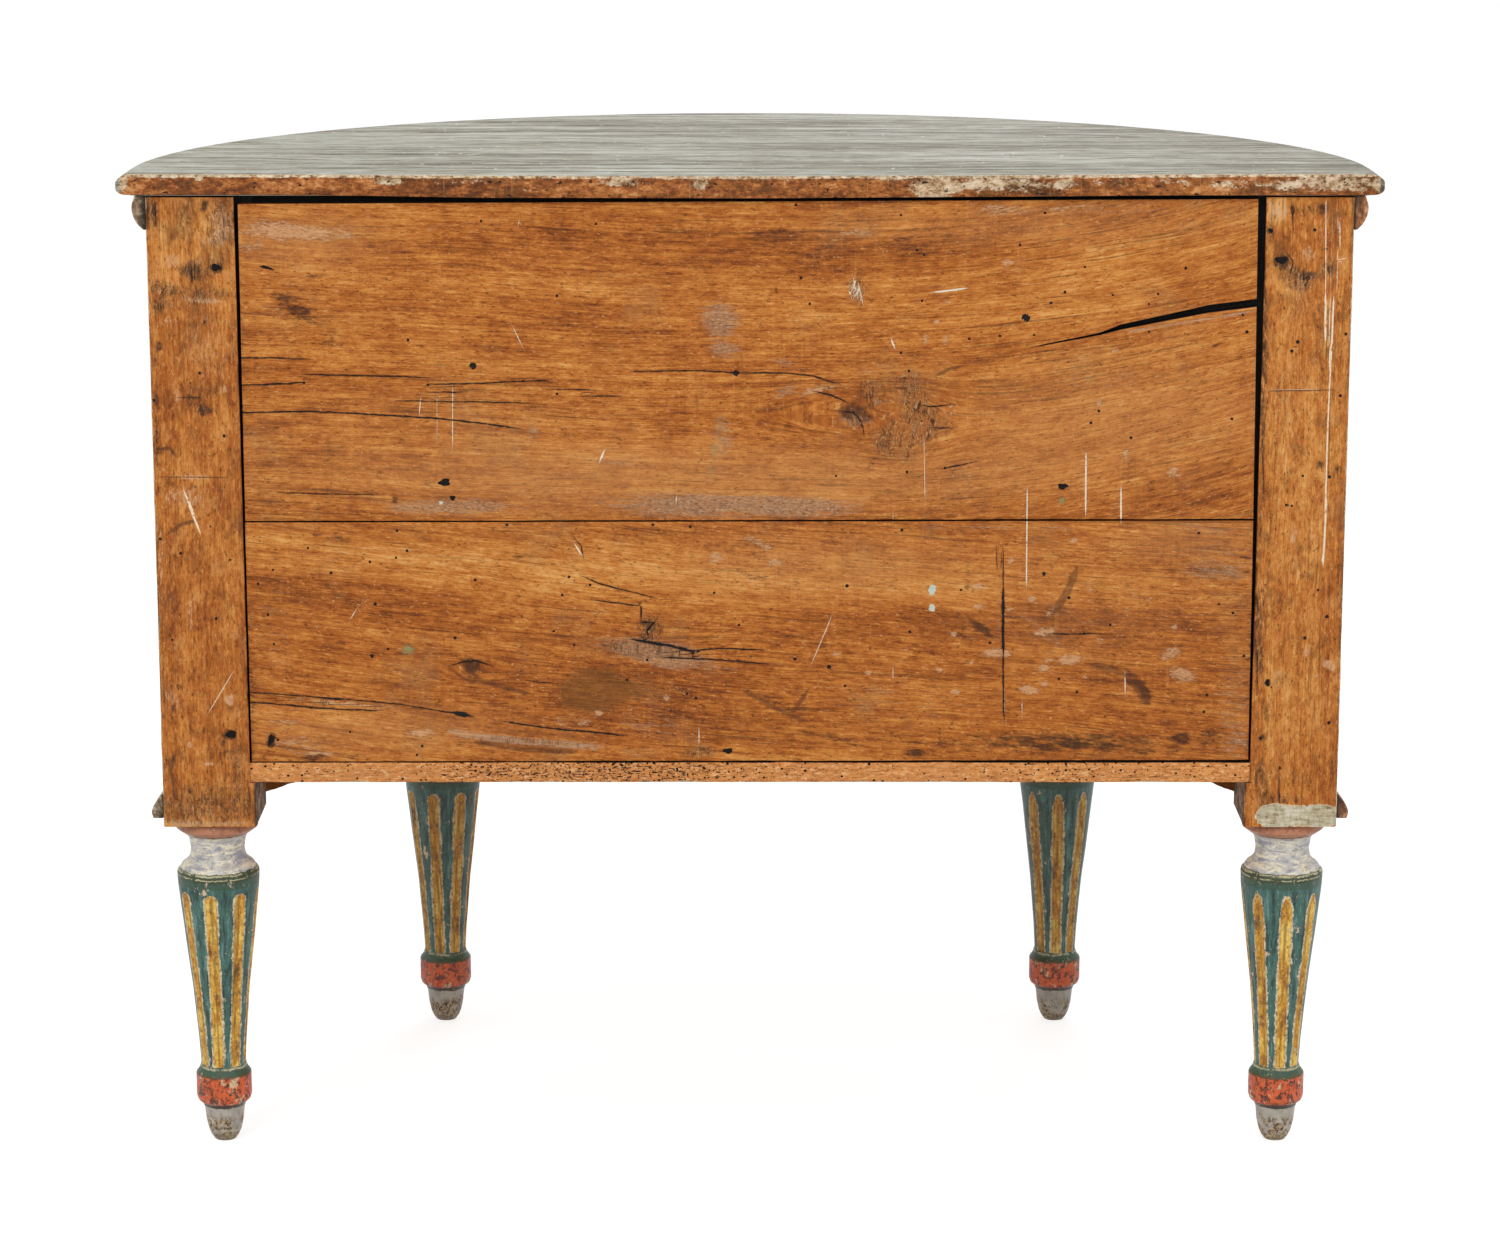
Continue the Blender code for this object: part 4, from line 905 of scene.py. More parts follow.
def leg_paint():
    """Painted leg: zones of colour down its height, gilt ochre flutes and chips."""
    tree = Tree("leg_paint")
    axes = tree.split(tree.place)
    wander = tree.noise(tree.place, 170, 4.0, 0.65)
    share = tree.plus(tree.math("DIVIDE", axes[2], LEG_HEIGHT), tree.linear(wander, 0.014, -0.007))
    zones = tree.ramp(share, (
        (0.0, (150, 132, 102)), (0.022, (186, 178, 166)), (0.106, (64, 42, 30)),
        (0.122, (230, 104, 52)), (0.206, (84, 76, 44)), (0.213, (58, 88, 66)),
        (0.236, (64, 104, 94)), (0.800, (56, 86, 70)), (0.820, (56, 70, 46)),
        (0.846, (208, 203, 195)), (0.951, (90, 56, 36)), (0.957, (197, 132, 98)),
    ), "CONSTANT")
    broken = tree.step(tree.noise(tree.place, (75, 75, 30), 4.0, 0.72), 0.40, 0.50)
    lines = tree.math("MAXIMUM", tree.between(share, 0.8405, 0.8450, 0.0012),
                      tree.between(share, 0.8290, 0.8325, 0.0012))
    lines = tree.math("MAXIMUM", lines, tree.between(share, 0.230, 0.236, 0.002))
    zones = tree.blend(zones, (196, 188, 148), lines, broken)
    mottle = tree.noise(tree.place, (95, 95, 55), 5.0, 0.68)
    dim_zones = tree.blend(zones, (24, 26, 22), 0.36)
    shade = tree.blend(dim_zones, zones, tree.step(mottle, 0.30, 0.60))
    green = tree.between(share, 0.24, 0.80, 0.01)
    brush = tree.noise(tree.place, (230, 230, 26), 4.0, 0.65)
    deep = tree.times(green, tree.step(brush, 0.49, 0.39))
    shade = tree.blend(shade, (20, 40, 36), deep, 0.80)
    blue = tree.times(green, tree.step(brush, 0.54, 0.65))
    shade = tree.blend(shade, (108, 152, 148), blue, 0.66)
    swirl = tree.noise(tree.place, (60, 60, 210), 4.0, 0.7, 0.6)
    neck = tree.between(share, 0.848, 0.950, 0.004)
    shade = tree.blend(shade, (236, 226, 200), neck, tree.step(swirl, 0.53, 0.58))
    lilac = tree.times(neck, tree.step(swirl, 0.47, 0.40))
    shade = tree.blend(shade, (132, 137, 154), lilac, 0.70)
    shoulder = tree.times(tree.step(share, 0.952, 0.960), tree.step(mottle, 0.50, 0.62))
    shade = tree.blend(shade, (134, 82, 56), shoulder, 0.62)
    speckle = tree.noise(tree.place, (380, 380, 260), 4.0, 0.75)
    flute = tree.field("flute")
    inside = tree.plus(flute, tree.linear(speckle, 0.0026, -0.0013))
    patchy = tree.noise(tree.place, (70, 70, 42), 5.0, 0.72)
    gold = tree.ramp(tree.centred((patchy, 1.1), (brush, 0.8), (speckle, 0.6)), (
        (0.26, (108, 72, 22)), (0.41, (182, 124, 38)), (0.54, (216, 160, 50)),
        (0.68, (244, 206, 100)),
    ))
    # Painted shade: darker gold down the deepest middle of each flute
    flute_hollow_shade = tree.times(tree.step(flute, 0.0026, 0.0044), tree.step(patchy, 0.44, 0.56))
    gold = tree.blend(gold, (98, 70, 20), flute_hollow_shade, 0.62)
    gold = tree.blend(gold, (78, 52, 22), tree.step(speckle, 0.40, 0.30), 0.85)
    # Painted highlights: pale glints scattered on the gilt
    gold = tree.blend(gold, (244, 216, 140), tree.step(speckle, 0.61, 0.69), 0.6)
    margin = tree.linear(patchy, 0.0088, -0.0031)
    rim = tree.step(tree.plus(inside, margin), -0.0006, 0.0)
    rim = tree.times(rim, tree.step(flute, -0.0040, -0.0030))
    ground = tree.ramp(speckle, (
        (0.38, (124, 96, 58)), (0.48, (206, 180, 136)), (0.60, (238, 224, 194)),
    ))
    shade = tree.blend(shade, ground, rim, 0.88)
    shade = tree.blend(shade, gold, tree.step(inside, -0.0001, 0.0004))
    ring = tree.between(share, 0.124, 0.208, 0.004)
    shade = tree.blend(shade, (196, 70, 34), ring, tree.step(mottle, 0.50, 0.64))
    shade = tree.blend(shade, (226, 194, 154), ring, tree.step(patchy, 0.45, 0.38))
    spots = tree.step(tree.noise(tree.place, (170, 170, 150), 5.0, 0.80), 0.51, 0.55)
    shade = tree.blend(shade, (58, 34, 22), ring, spots, 0.92)
    foot = tree.between(share, 0.004, 0.078, 0.014)
    worn = tree.step(tree.noise(tree.place, (95, 95, 80), 5.0, 0.76), 0.45, 0.51)
    bare_foot = tree.ramp(speckle, (
        (0.38, (34, 26, 20)), (0.48, (112, 86, 54)), (0.60, (196, 174, 136)),
    ))
    shade = tree.blend(shade, bare_foot, foot, worn)
    chips = tree.step(tree.noise(tree.place, (85, 85, 62), 6.0, 0.76), 0.618, 0.635)
    shade = tree.blend(shade, (228, 200, 168), chips)
    crazed = tree.step(tree.noise(tree.place, (300, 300, 190), 4.0, 0.75), 0.61, 0.67)
    shade = tree.blend(shade, (196, 190, 160), crazed, 0.55)
    dirt = tree.step(tree.noise(tree.place, 250, 4.0, 0.7), 0.59, 0.67)
    shade = tree.blend(shade, (44, 32, 22), dirt, 0.62)
    # Painted shade: the front legs, under the chest, are darkened
    shade = tree.blend(shade, (42, 30, 20), tree.step(axes[1], 0.05, -0.05), 0.24)
    height = tree.total((mottle, 0.6), (speckle, 0.5), (chips, 0.5), (brush, 0.3), (crazed, 0.3))
    return tree.finish(shade, height, 0.0008, 0.44, 0.42)


def iron():
    """Rusted iron of the nails."""
    tree = Tree("rusted_iron")
    rust = tree.noise(tree.place, 600, 4.0, 0.7)
    shade = tree.ramp(rust, ((0.3, (8, 7, 7)), (0.55, (20, 17, 17)), (0.75, (58, 54, 54))))
    return tree.finish(shade, rust, 0.0006, 0.8, 0.15)


def brass():
    """Old brass of the knobs, brown in its hollows."""
    tree = Tree("old_brass")
    stain = tree.noise(tree.place, 150, 5.0, 0.65)
    shade = tree.ramp(stain, ((0.3, (96, 66, 30)), (0.5, (176, 136, 66)), (0.7, (206, 172, 98))))
    tree.feed(tree.shader.inputs["Metallic"], 1.0)
    roughness = tree.linear(stain, 0.3, 0.2)
    return tree.finish(shade, stain, 0.0002, roughness, 0.5)


# Marks of the back boards, in pixels of the photograph

UPPER_CORNERS = ((237.6, 204.2), (1258.4, 199.3), (245.2, 521.2), (1253.4, 519.1))
LOWER_CORNERS = ((244.8, 522.9), (1253.3, 521.0), (251.8, 761.8), (1248.3, 760.2))

# Lips of the open crack, from its mouth at the right to its tip and on along the grain
UPPER_LIP = (
    (1258, 299), (1209, 305.2), (1165, 315.2), (1122, 324.5), (1100, 333), (1045, 344.3),
    (1013, 351.5), (900, 372), (240, 396),
)
LOWER_LIP = (
    (1258, 306.5), (1209, 312.6), (1165, 321), (1122, 329.4), (1100, 335), (1045, 345.2),
    (1013, 351.8), (900, 372.3), (240, 396.3),
)
CRACK_DEPTH = 0.0095

# How far from its middle a line of a kind counts, and the greatest strength of an oval's kind
LINE_REACH = {"cracks": 7.0, "drips": 7.0, "scrapes": 9.0, "smears": 9.0, "joints": 12.0}
MARK_LIMITS = {"wash": 0.6, "torn": 1.0}

# Lines: half width, then the line
BOARD_LINES = {
    # Thin cracks
    "cracks": (
        (0.7, (236, 412.6), (313, 411.4), (372, 414.4), (430, 418), (454, 420), (517, 428)),
        (0.55, (240, 358), (270, 358), (307, 359)),
        (0.7, (236, 385.2), (268, 384.5), (304, 382.5)),
        (0.55, (306, 374.5), (372, 376), (425, 377.5)),
        (0.5, (433, 384), (474, 383.6), (548, 380)), (0.45, (430, 392), (462, 392)),
        (0.45, (553, 389), (592, 390)), (0.45, (584, 396), (616, 396)),
        (0.4, (401, 401), (486, 402), (527, 403)), (0.35, (281, 492.7), (375, 495)),
        (0.55, (634, 371.5), (700, 370.6), (736, 372.8), (787, 373.1), (813, 376), (836, 383)),
        (0.9, (817, 392), (831, 395), (846, 402)), (0.6, (851, 412), (858, 417), (864, 431)),
        (0.5, (945, 468), (974, 462)),
        (0.42, (248, 692.2), (320, 697.3), (343, 699), (402, 704.6), (452, 713)),
        (0.95, (318, 697.4), (346, 699.6)),
        (0.6, (248, 702), (289, 705.4), (337, 709.3), (378, 710.5)),
        (0.8, (285, 705), (318, 708.4)), (2.1, (449, 712), (459, 713.6), (472, 716.2)),
        (0.65, (506, 721.8), (547, 728), (590, 732), (621, 735.2)),
        (0.5, (922, 405), (932, 406.6), (950, 405)), (0.5, (935, 427.6), (949, 428)),
        (0.5, (840, 411), (854, 412.6), (860, 420)), (0.7, (853, 413), (859, 419)),
        (0.5, (862, 422), (863.5, 432)), (0.7, (453, 665), (462, 662), (476, 661), (489, 665)),
        (0.4, (530, 681), (552, 683)), (0.5, (576, 540), (581, 546), (583, 556)),
        (0.5, (585, 577.5), (600, 584), (652, 597.2)), (0.5, (593, 600), (640, 606)),
        (0.9, (641, 604), (641, 621)), (1.5, (641, 622.5), (650, 622.5)),
        (1.0, (654, 622), (647, 631), (648, 637)),
        (1.5, (632, 639.4), (672, 646.4), (697, 652.6), (701, 650)),
        (0.6, (696, 650.4), (720, 648.4), (760, 649.8)),
        (0.6, (665, 657.3), (720, 660), (765, 663.8)), (0.4, (1003, 552), (1003.2, 587)),
        (1.4, (1003, 583), (1003.3, 656)), (0.6, (1003, 650), (1003, 684), (1004, 718)),
        (0.3, (996.5, 552), (997, 566)), (0.4, (1050, 634), (1084, 634), (1106, 634)),
    ),
    # Pale drips and scratches
    "drips": (
        (0.45, (452.6, 385), (452.6, 449)), (0.25, (437, 392), (437, 440)),
        (0.6, (421, 396), (419, 416)), (0.7, (519.5, 219), (518, 227)),
        (1.2, (605, 449), (599, 463)), (0.7, (676.5, 495), (676, 505)),
        (0.4, (512, 325), (523, 348)), (0.5, (699, 727), (699, 745)),
        (0.5, (850, 283), (855, 297)), (0.5, (848, 288), (852, 300)),
        (0.8, (853, 277), (858, 300)), (0.8, (858, 282), (863, 304)),
        (1.0, (932, 292.6), (950, 290.5), (968, 288)), (1.4, (891, 338), (895, 349)),
        (0.7, (1027.3, 487), (1026.8, 540), (1026.4, 586)), (0.9, (1086, 452), (1085.6, 515)),
        (0.9, (1121, 486), (1121, 523)), (0.6, (1125, 673), (1125.2, 695)),
        (0.4, (832, 615), (826, 630), (811, 665)), (0.35, (924, 436), (925, 500)),
        (0.9, (574, 543), (583, 557)), (0.5, (357, 608), (350, 620)),
        (0.4, (893, 510), (893, 521)), (0.3, (1022, 698), (1022, 716)),
        (0.5, (1004, 690), (1004, 714)), (0.5, (893, 667), (893, 680)),
    ),
    # Long scrapes down to pale wood
    "scrapes": (
        (3.4, (448, 731), (480, 737), (511, 740), (560, 744), (603, 747.4)),
        (1.1, (1257, 310.5), (1209, 318.6), (1165, 325.6), (1126, 332)),
    ),
    # Brown smears
    "smears": (
        (3.6, (1077, 568), (1068, 590), (1054, 614)), (2.2, (966, 616), (980, 626), (993, 638)),
        (2.0, (742, 690), (775, 708), (808, 722)), (2.0, (808, 690), (800, 702), (790, 716)),
        (2.0, (466, 668), (484, 682), (530, 694)), (1.6, (452, 668), (462, 678), (480, 684)),
        (1.6, (935, 376), (950, 369), (962, 366)), (2.4, (474, 742), (530, 750), (576, 752)),
        (3.0, (1090, 665), (1112, 669), (1126, 675)), (5.4, (1124, 674), (1138, 686), (1150, 704)),
    ),
}

# Soft ovals: centre, half sizes, strength and, if any, turn in degrees
BOARD_OVALS = {
    "dark": (
        (292, 307, 32, 11, 0.72, 34), (331, 343, 15, 6, 0.5, 4), (316, 275, 12, 5, 0.4),
        (422, 295, 7, 4, 0.3, 20), (368, 310, 4, 3, 0.7), (403, 443, 8, 5, 0.5, 30),
        (395, 500, 3.5, 3, 0.9), (425, 483, 9, 3, 0.4), (534, 224, 4, 9, 0.4, -10),
        (677, 221, 7, 6, 0.35), (471, 267, 9, 5, 0.3), (856, 413, 19, 11, 0.85, 10),
        (886, 440, 8, 13, 0.4, 30), (918, 410, 14, 16, 0.3), (876, 395, 9, 7, 0.35, 40),
        (872, 462, 4, 13, 0.35, 20), (908, 458, 4, 12, 0.3, 15), (905, 385, 14, 9, 0.35, 20),
        (780, 232, 80, 3, 0.42, -1), (920, 240, 40, 12, 0.3, -8), (999, 243, 5, 4, 0.4),
        (1216, 347, 5, 6, 0.4), (1051, 460, 3, 13, 0.3, 5), (471, 664, 16, 10, 0.66, 8),
        (500, 685, 26, 8, 0.3, 25), (330, 538, 26, 6, 0.25, 6), (386, 628, 4, 12, 0.5),
        (335, 648, 12, 7, 0.3, -30), (648, 627, 8, 10, 0.9, 20), (967, 578, 4, 26, 0.42, 2),
        (772, 701, 30, 10, 0.3, 20), (802, 707, 12, 8, 0.3, -60), (982, 629, 15, 7, 0.6, 35),
        (948, 637, 14, 3, 0.3, -25), (1110, 667, 24, 4, 0.35, 8), (1136, 683, 16, 7, 0.6, 42),
        (1147, 698, 8, 11, 0.5), (1181, 738, 8, 6, 0.85), (1212, 736, 18, 8, 0.5),
        (830, 738, 34, 5, 0.5, 12), (1000, 744, 120, 13, 0.34, 1), (1120, 744, 110, 12, 0.36, 1),
        (330, 757, 26, 4, 0.4), (700, 752, 18, 6, 0.55), (754, 576, 16, 4, 0.45, 8),
        (1131, 470, 14, 4, 0.3, 45), (1151, 492, 4, 14, 0.35), (590, 240, 60, 4, 0.22, 1),
        (780, 560, 60, 18, 0.12), (1160, 572, 80, 5, 0.2), (915, 753, 10, 4, 0.9),
        (250, 640, 6, 80, 0.25), (1247, 620, 7, 120, 0.3), (246, 300, 5, 90, 0.2),
        (271, 742, 4, 8, 1.3, 12), (285, 760, 12, 3, 0.5), (311, 758, 14, 4, 0.6),
        (478, 744, 40, 3, 0.35, 4), (252, 720, 6, 60, 0.35), (520, 556, 60, 4, 0.2, 7),
    ),
    "pale": (
        (275, 230, 38, 11, 0.62, 4), (330, 234, 36, 9, 0.48), (252, 247, 14, 6, 0.5),
        (560, 246, 60, 4, 0.18), (470, 228, 60, 4, 0.26), (997, 210, 30, 7, 0.46),
        (1075, 208, 60, 6, 0.36, -3), (855, 233, 24, 4, 0.6), (1008, 263, 7, 4, 0.7),
        (948, 302, 4, 2, 0.9), (936, 322, 3, 3, 0.8), (925, 340, 4, 6, 0.5), (945, 340, 4, 6, 0.5),
        (1115, 350, 5, 2.5, 0.9), (1099, 403, 5, 4, 0.7), (1174, 473, 9, 6, 0.6, 20),
        (1126, 455, 4, 8, 0.6, 10), (563, 265, 60, 5, 0.12, 2), (998, 653, 16, 4.5, 0.9, 2),
        (977, 586, 8, 3, 0.9), (979, 606, 6, 3, 0.7), (1032, 599, 5, 3, 0.9),
        (1045, 632, 11, 4, 0.9, -8), (1069, 660, 13, 5, 0.9, -6), (1044, 668, 6, 4, 0.9),
        (1049, 660, 4, 3, 0.8), (1029, 690, 11, 4, 0.9, 8), (1044, 684, 5, 3, 0.7),
        (955, 692, 6, 3, 0.9), (1170, 654, 11, 6, 0.7, -20), (1182, 674, 14, 8, 0.75, 8),
        (1011, 561, 4, 3, 0.8, -20), (1074, 540, 5, 3, 0.8), (774, 563, 10, 4, 0.6),
        (766, 548, 7, 4, 0.6), (748, 538, 9, 4, 0.6), (758, 542, 5, 3, 0.6),
        (881, 691, 32, 6, 0.26, 5), (1175, 627, 4, 3, 0.8), (422, 733, 14, 4, 0.8, -2),
        (330, 702.5, 40, 2.6, 0.55, 5), (378, 706, 30, 2.2, 0.4, 6), (716, 558, 10, 6, 0.5),
        (300, 745, 30, 10, 0.4), (954, 634, 4, 3, 0.7), (972, 662, 3, 2, 0.8),
        (867, 372, 10, 4, 0.3), (836, 654, 5, 3, 0.6), (868, 673, 4, 3, 0.7),
        (1057, 644, 4, 2, 0.7), (1049, 614, 4, 3, 0.6, -30), (1056, 606, 3, 5, 0.6, 20),
        (600, 611, 9, 3, 0.4), (820, 389, 28, 4, 0.56, -12), (284, 722, 22, 4, 0.4),
        (599, 713, 5, 5, 0.7, 30), (584, 723, 8, 5, 0.5), (557, 719, 7, 4, 0.45),
        (667, 698, 5, 3, 0.8), (916, 375, 4, 1.6, 0.8), (904, 376, 4, 1.6, 0.8),
        (884, 417, 1.8, 1.8, 1.2), (951, 406, 2, 1.5, 1.0), (951, 414, 2, 1.5, 0.8),
        (880, 403, 8, 2.5, 0.6, 10), (320, 754, 14, 2.4, 0.7), (1090, 590, 4, 3, 0.6),
        (1100, 640, 5, 3, 0.6), (1126, 610, 4, 3, 0.5), (1010, 610, 4, 2.5, 0.7),
        (1086, 676, 5, 3, 0.6), (940, 670, 5, 3, 0.6), (905, 650, 5, 2.5, 0.5),
        (1150, 600, 5, 3, 0.5),
    ),
    "grey": (
        (720, 320, 20, 20, 0.8), (724, 350, 18, 9, 0.6), (722, 438, 12, 30, 0.44, 4),
        (533, 432, 7, 12, 0.5), (700, 505, 100, 14, 0.74), (810, 507, 60, 11, 0.62),
        (450, 507, 76, 9, 0.7), (610, 462, 30, 4, 0.45), (650, 650, 56, 13, 0.74, 6),
        (690, 665, 50, 8, 0.4, 5), (786, 391, 14, 6, 0.6, -24), (858, 418, 24, 12, 0.4, 14),
        (785, 362, 10, 6, 0.5), (890, 455, 22, 16, 0.16), (1100, 380, 50, 9, 0.3, -6),
        (1220, 560, 40, 24, 0.3), (1235, 700, 22, 50, 0.34), (1195, 528, 62, 8, 0.34),
        (1218, 573, 36, 9, 0.3), (1246, 400, 10, 120, 0.16), (1120, 210, 120, 8, 0.26, -2),
        (1240, 745, 20, 16, 0.34), (650, 726, 34, 12, 0.36, 4), (640, 695, 60, 20, 0.16),
        (1000, 528, 90, 5, 0.36), (270, 640, 26, 60, 0.2), (335, 560, 80, 30, 0.14, 6),
        (640, 752, 30, 6, 0.34, 4), (900, 700, 90, 26, 0.2), (1060, 640, 80, 50, 0.18),
    ),
    # Darker, greener stains
    "olive": (
        (592, 691, 36, 24, 0.9, -8), (340, 540, 22, 7, 0.4, 8), (548, 533, 24, 5, 0.4, 4),
        (640, 690, 40, 12, 0.4, 4), (1066, 742, 140, 11, 0.5), (300, 600, 50, 30, 0.25),
        (700, 262, 60, 16, 0.3), (880, 250, 50, 14, 0.3), (450, 560, 40, 10, 0.3, 8),
        (1215, 270, 30, 16, 0.25, -10), (330, 470, 50, 14, 0.2), (820, 640, 60, 12, 0.3),
    ),
    # Torn patches
    "torn": (
        (872, 392, 12, 13, 0.8), (911, 392, 16, 18, 0.66), (919, 414, 15, 14, 1.0),
        (923, 430, 10, 14, 0.8), (884, 443, 10, 13, 1.0, -45), (893, 428, 8, 8, 0.6),
        (907, 442, 12, 20, 0.6), (934, 424, 13, 12, 0.6), (650, 628, 11, 13, 0.8),
        (640, 650, 44, 8, 0.42, 5), (857, 290, 9, 14, 0.5), (858, 418, 9, 8, 0.5),
        (700, 752, 14, 6, 0.8), (322, 703, 6, 3, 0.7), (530, 742, 60, 4, 0.4, 4),
    ),
    "green": (
        (408, 650, 6, 5, 0.85, -20), (714, 452, 4, 10, 0.25), (720, 425, 6, 9, 0.22),
        (712, 472, 4, 7, 0.25), (1062, 501, 3.2, 3.2, 0.8),
    ),
    "sky": (
        (932, 590, 4, 6, 0.9), (932, 608, 3.5, 4, 0.8), (441, 503, 2.6, 2.6, 0.6),
    ),
    # Wide faded areas
    "wash": (
        (690, 480, 330, 34, 0.34), (1110, 420, 170, 62, 0.26, -4), (820, 565, 170, 30, 0.24),
        (300, 240, 80, 34, 0.26), (1020, 225, 230, 20, 0.2, -1), (430, 440, 190, 50, 0.12),
        (1100, 600, 150, 60, 0.1), (380, 730, 150, 24, 0.22), (1190, 540, 80, 24, 0.24),
    ),
    # Changes of tone, brighter where positive
    "tone": (
        (330, 550, 160, 20, 0.12, 7), (560, 560, 160, 34, 0.1, 7), (330, 596, 120, 22, -0.14, 7),
        (520, 620, 160, 22, -0.1, 8), (860, 575, 300, 30, 0.1, 1), (1000, 626, 330, 20, -0.16, 1),
        (900, 655, 260, 24, -0.05, 2), (1120, 560, 130, 30, 0.04), (640, 700, 160, 50, -0.12),
        (430, 640, 160, 24, 0.03, 8), (740, 250, 330, 22, -0.13, 2), (500, 290, 180, 26, -0.02, 2),
        (1110, 290, 150, 36, 0.05, -14), (1120, 430, 160, 60, 0.05, -4), (620, 460, 200, 40, 0.05),
        (850, 412, 60, 26, -0.09, 4), (640, 330, 120, 30, -0.03, 2), (1120, 705, 160, 40, -0.05),
        (950, 350, 60, 34, -0.03, -10), (300, 500, 60, 60, -0.02),
    ),
}

# Holes: pixel and radius in millimetres
HOLES = (
    (481, 221, 0.9), (557, 296, 1), (408, 340, 1), (596, 224, 0.9), (523, 381, 0.9), (557, 394, 1),
    (428, 385, 1), (304, 383, 1), (473, 366, 2.6), (736, 373, 2.2), (796, 205, 0.9),
    (901, 215, 0.9), (1045, 213, 0.9), (1020, 245, 1), (917, 250, 0.9), (924, 255, 0.8),
    (801, 278, 1), (810, 304, 1), (1085, 267, 0.9), (1065, 292, 1), (1186, 268, 1.1),
    (1113, 295, 0.8), (1158, 294, 0.9), (1051, 303, 1), (922, 301, 0.9), (1149, 304, 0.9),
    (969, 339, 1), (1000, 336, 0.9), (1034, 335, 0.9), (901, 353, 1), (909, 371, 1),
    (1149, 332, 0.9), (1099, 411, 1), (1091, 423, 1), (1131, 438, 1.1), (1232, 419, 1),
    (836, 476, 0.9), (907, 472, 0.9), (945, 468, 1), (1243, 315, 0.9), (1247, 332, 1.2),
    (1026, 318, 3.2), (397, 531, 0.9), (407, 551, 1), (396, 558, 0.9), (370, 562, 1),
    (308, 548, 0.8), (331, 573, 1.1), (273, 570, 0.8), (258, 584, 0.9), (268, 615, 0.9),
    (274, 644, 0.9), (375, 604, 1.2), (455, 638, 1.2), (388, 649, 1), (372, 656, 1.4),
    (475, 580, 1.1), (569, 577, 0.9), (590, 585, 1), (562, 595, 1), (653, 525, 1), (690, 527, 1),
    (507, 525, 1), (714, 593, 0.9), (739, 625, 1), (647, 660, 1), (627, 680, 1), (687, 694, 1),
    (696, 698, 1.1), (554, 631, 0.9), (574, 645, 0.9), (278, 740, 1), (350, 732, 0.8),
    (422, 746, 1), (417, 755, 0.9), (1044, 574, 1.4), (1069, 598, 1.2), (1110, 625, 1),
    (1084, 634, 1), (1059, 679, 1), (1077, 692, 1), (829, 667, 1.5), (795, 659, 1.2),
    (845, 686, 1), (910, 632, 1.1), (961, 590, 1), (1233, 613, 1), (1199, 533, 1), (1207, 695, 1),
    (1204, 712, 1), (1219, 604, 0.9), (990, 643, 1), (902, 530, 1), (847, 586, 1.2),
    (1244, 656, 1),
)

# Knots: centre, half sizes in metres and how far they push the grain aside
KNOTS = (
    (852, 414, 0.075, 0.02, 1.5), (292, 307, 0.04, 0.012, 0.5), (472, 668, 0.045, 0.014, 1.0),
    (905, 430, 0.04, 0.03, 0.8), (331, 343, 0.025, 0.008, 0.4), (640, 630, 0.06, 0.01, 0.5),
)

# Iron nails: pixel, half length and half width in millimetres, turn in degrees
NAILS = (
    (444.5, 482.5, 5.6, 3.6, 8), (452.6, 498, 2.8, 2.6, 0), (1062.8, 486.5, 5, 3, 4),
    (266.5, 267.7, 6.6, 1.4, -14), (727.8, 751, 4.8, 2.6, 0), (271, 739.6, 2.8, 4.8, -14),
)


# Pieces

# Inner rear corner of a front post
POST_BACK = plan_curve(np.array([angle_at_x(FRONT_POST_OUTER_X)]), -FRONT_POST_DEPTH)[0]


def grain_height(points):
    """Heights across the back boards, bent along the grain as it runs round the knots."""
    x = points[:, 0]
    z = points[:, 2]
    away = x - on_plane((850, 410), REAR_Y)[0]
    upper = smooth_step(z, UPPER_BOARD_LOW.z - 0.001, UPPER_BOARD_LOW.z)
    bow = np.where(away < 0, 0.35, 0.06) * away ** 2 * upper
    slope = (1 - upper) * (0.075 * x + 0.05 * np.clip(x, 0.0, 1.0) ** 2)
    height = z - bow - slope
    for u, v, half_length, half_height, push in KNOTS:
        centre = on_plane((u, v), REAR_Y)
        along = (x - centre[0]) / half_length
        across = (z - centre[2]) / half_height
        height = height - push * (z - centre[2]) * np.exp(-(along ** 2 + across ** 2))
    return height + 0.0035 * rough_noise(points[:, (0, 2)], (0.26, 0.07), 3)


def wood_relief(points, along, seed):
    """Depth of the plane marks and hollows of an old sawn face, in metres."""
    flat = points[:, (0, 2)]
    order = slice(None) if along == "x" else slice(None, None, -1)
    hollows = rough_noise(flat, (0.25, 0.05)[order], seed)
    ripples = rough_noise(flat, (0.05, 0.006)[order], seed + 7, 2)
    return 0.0004 * (hollows + 1.9) / 2 + 0.00012 * (ripples + 1.5)


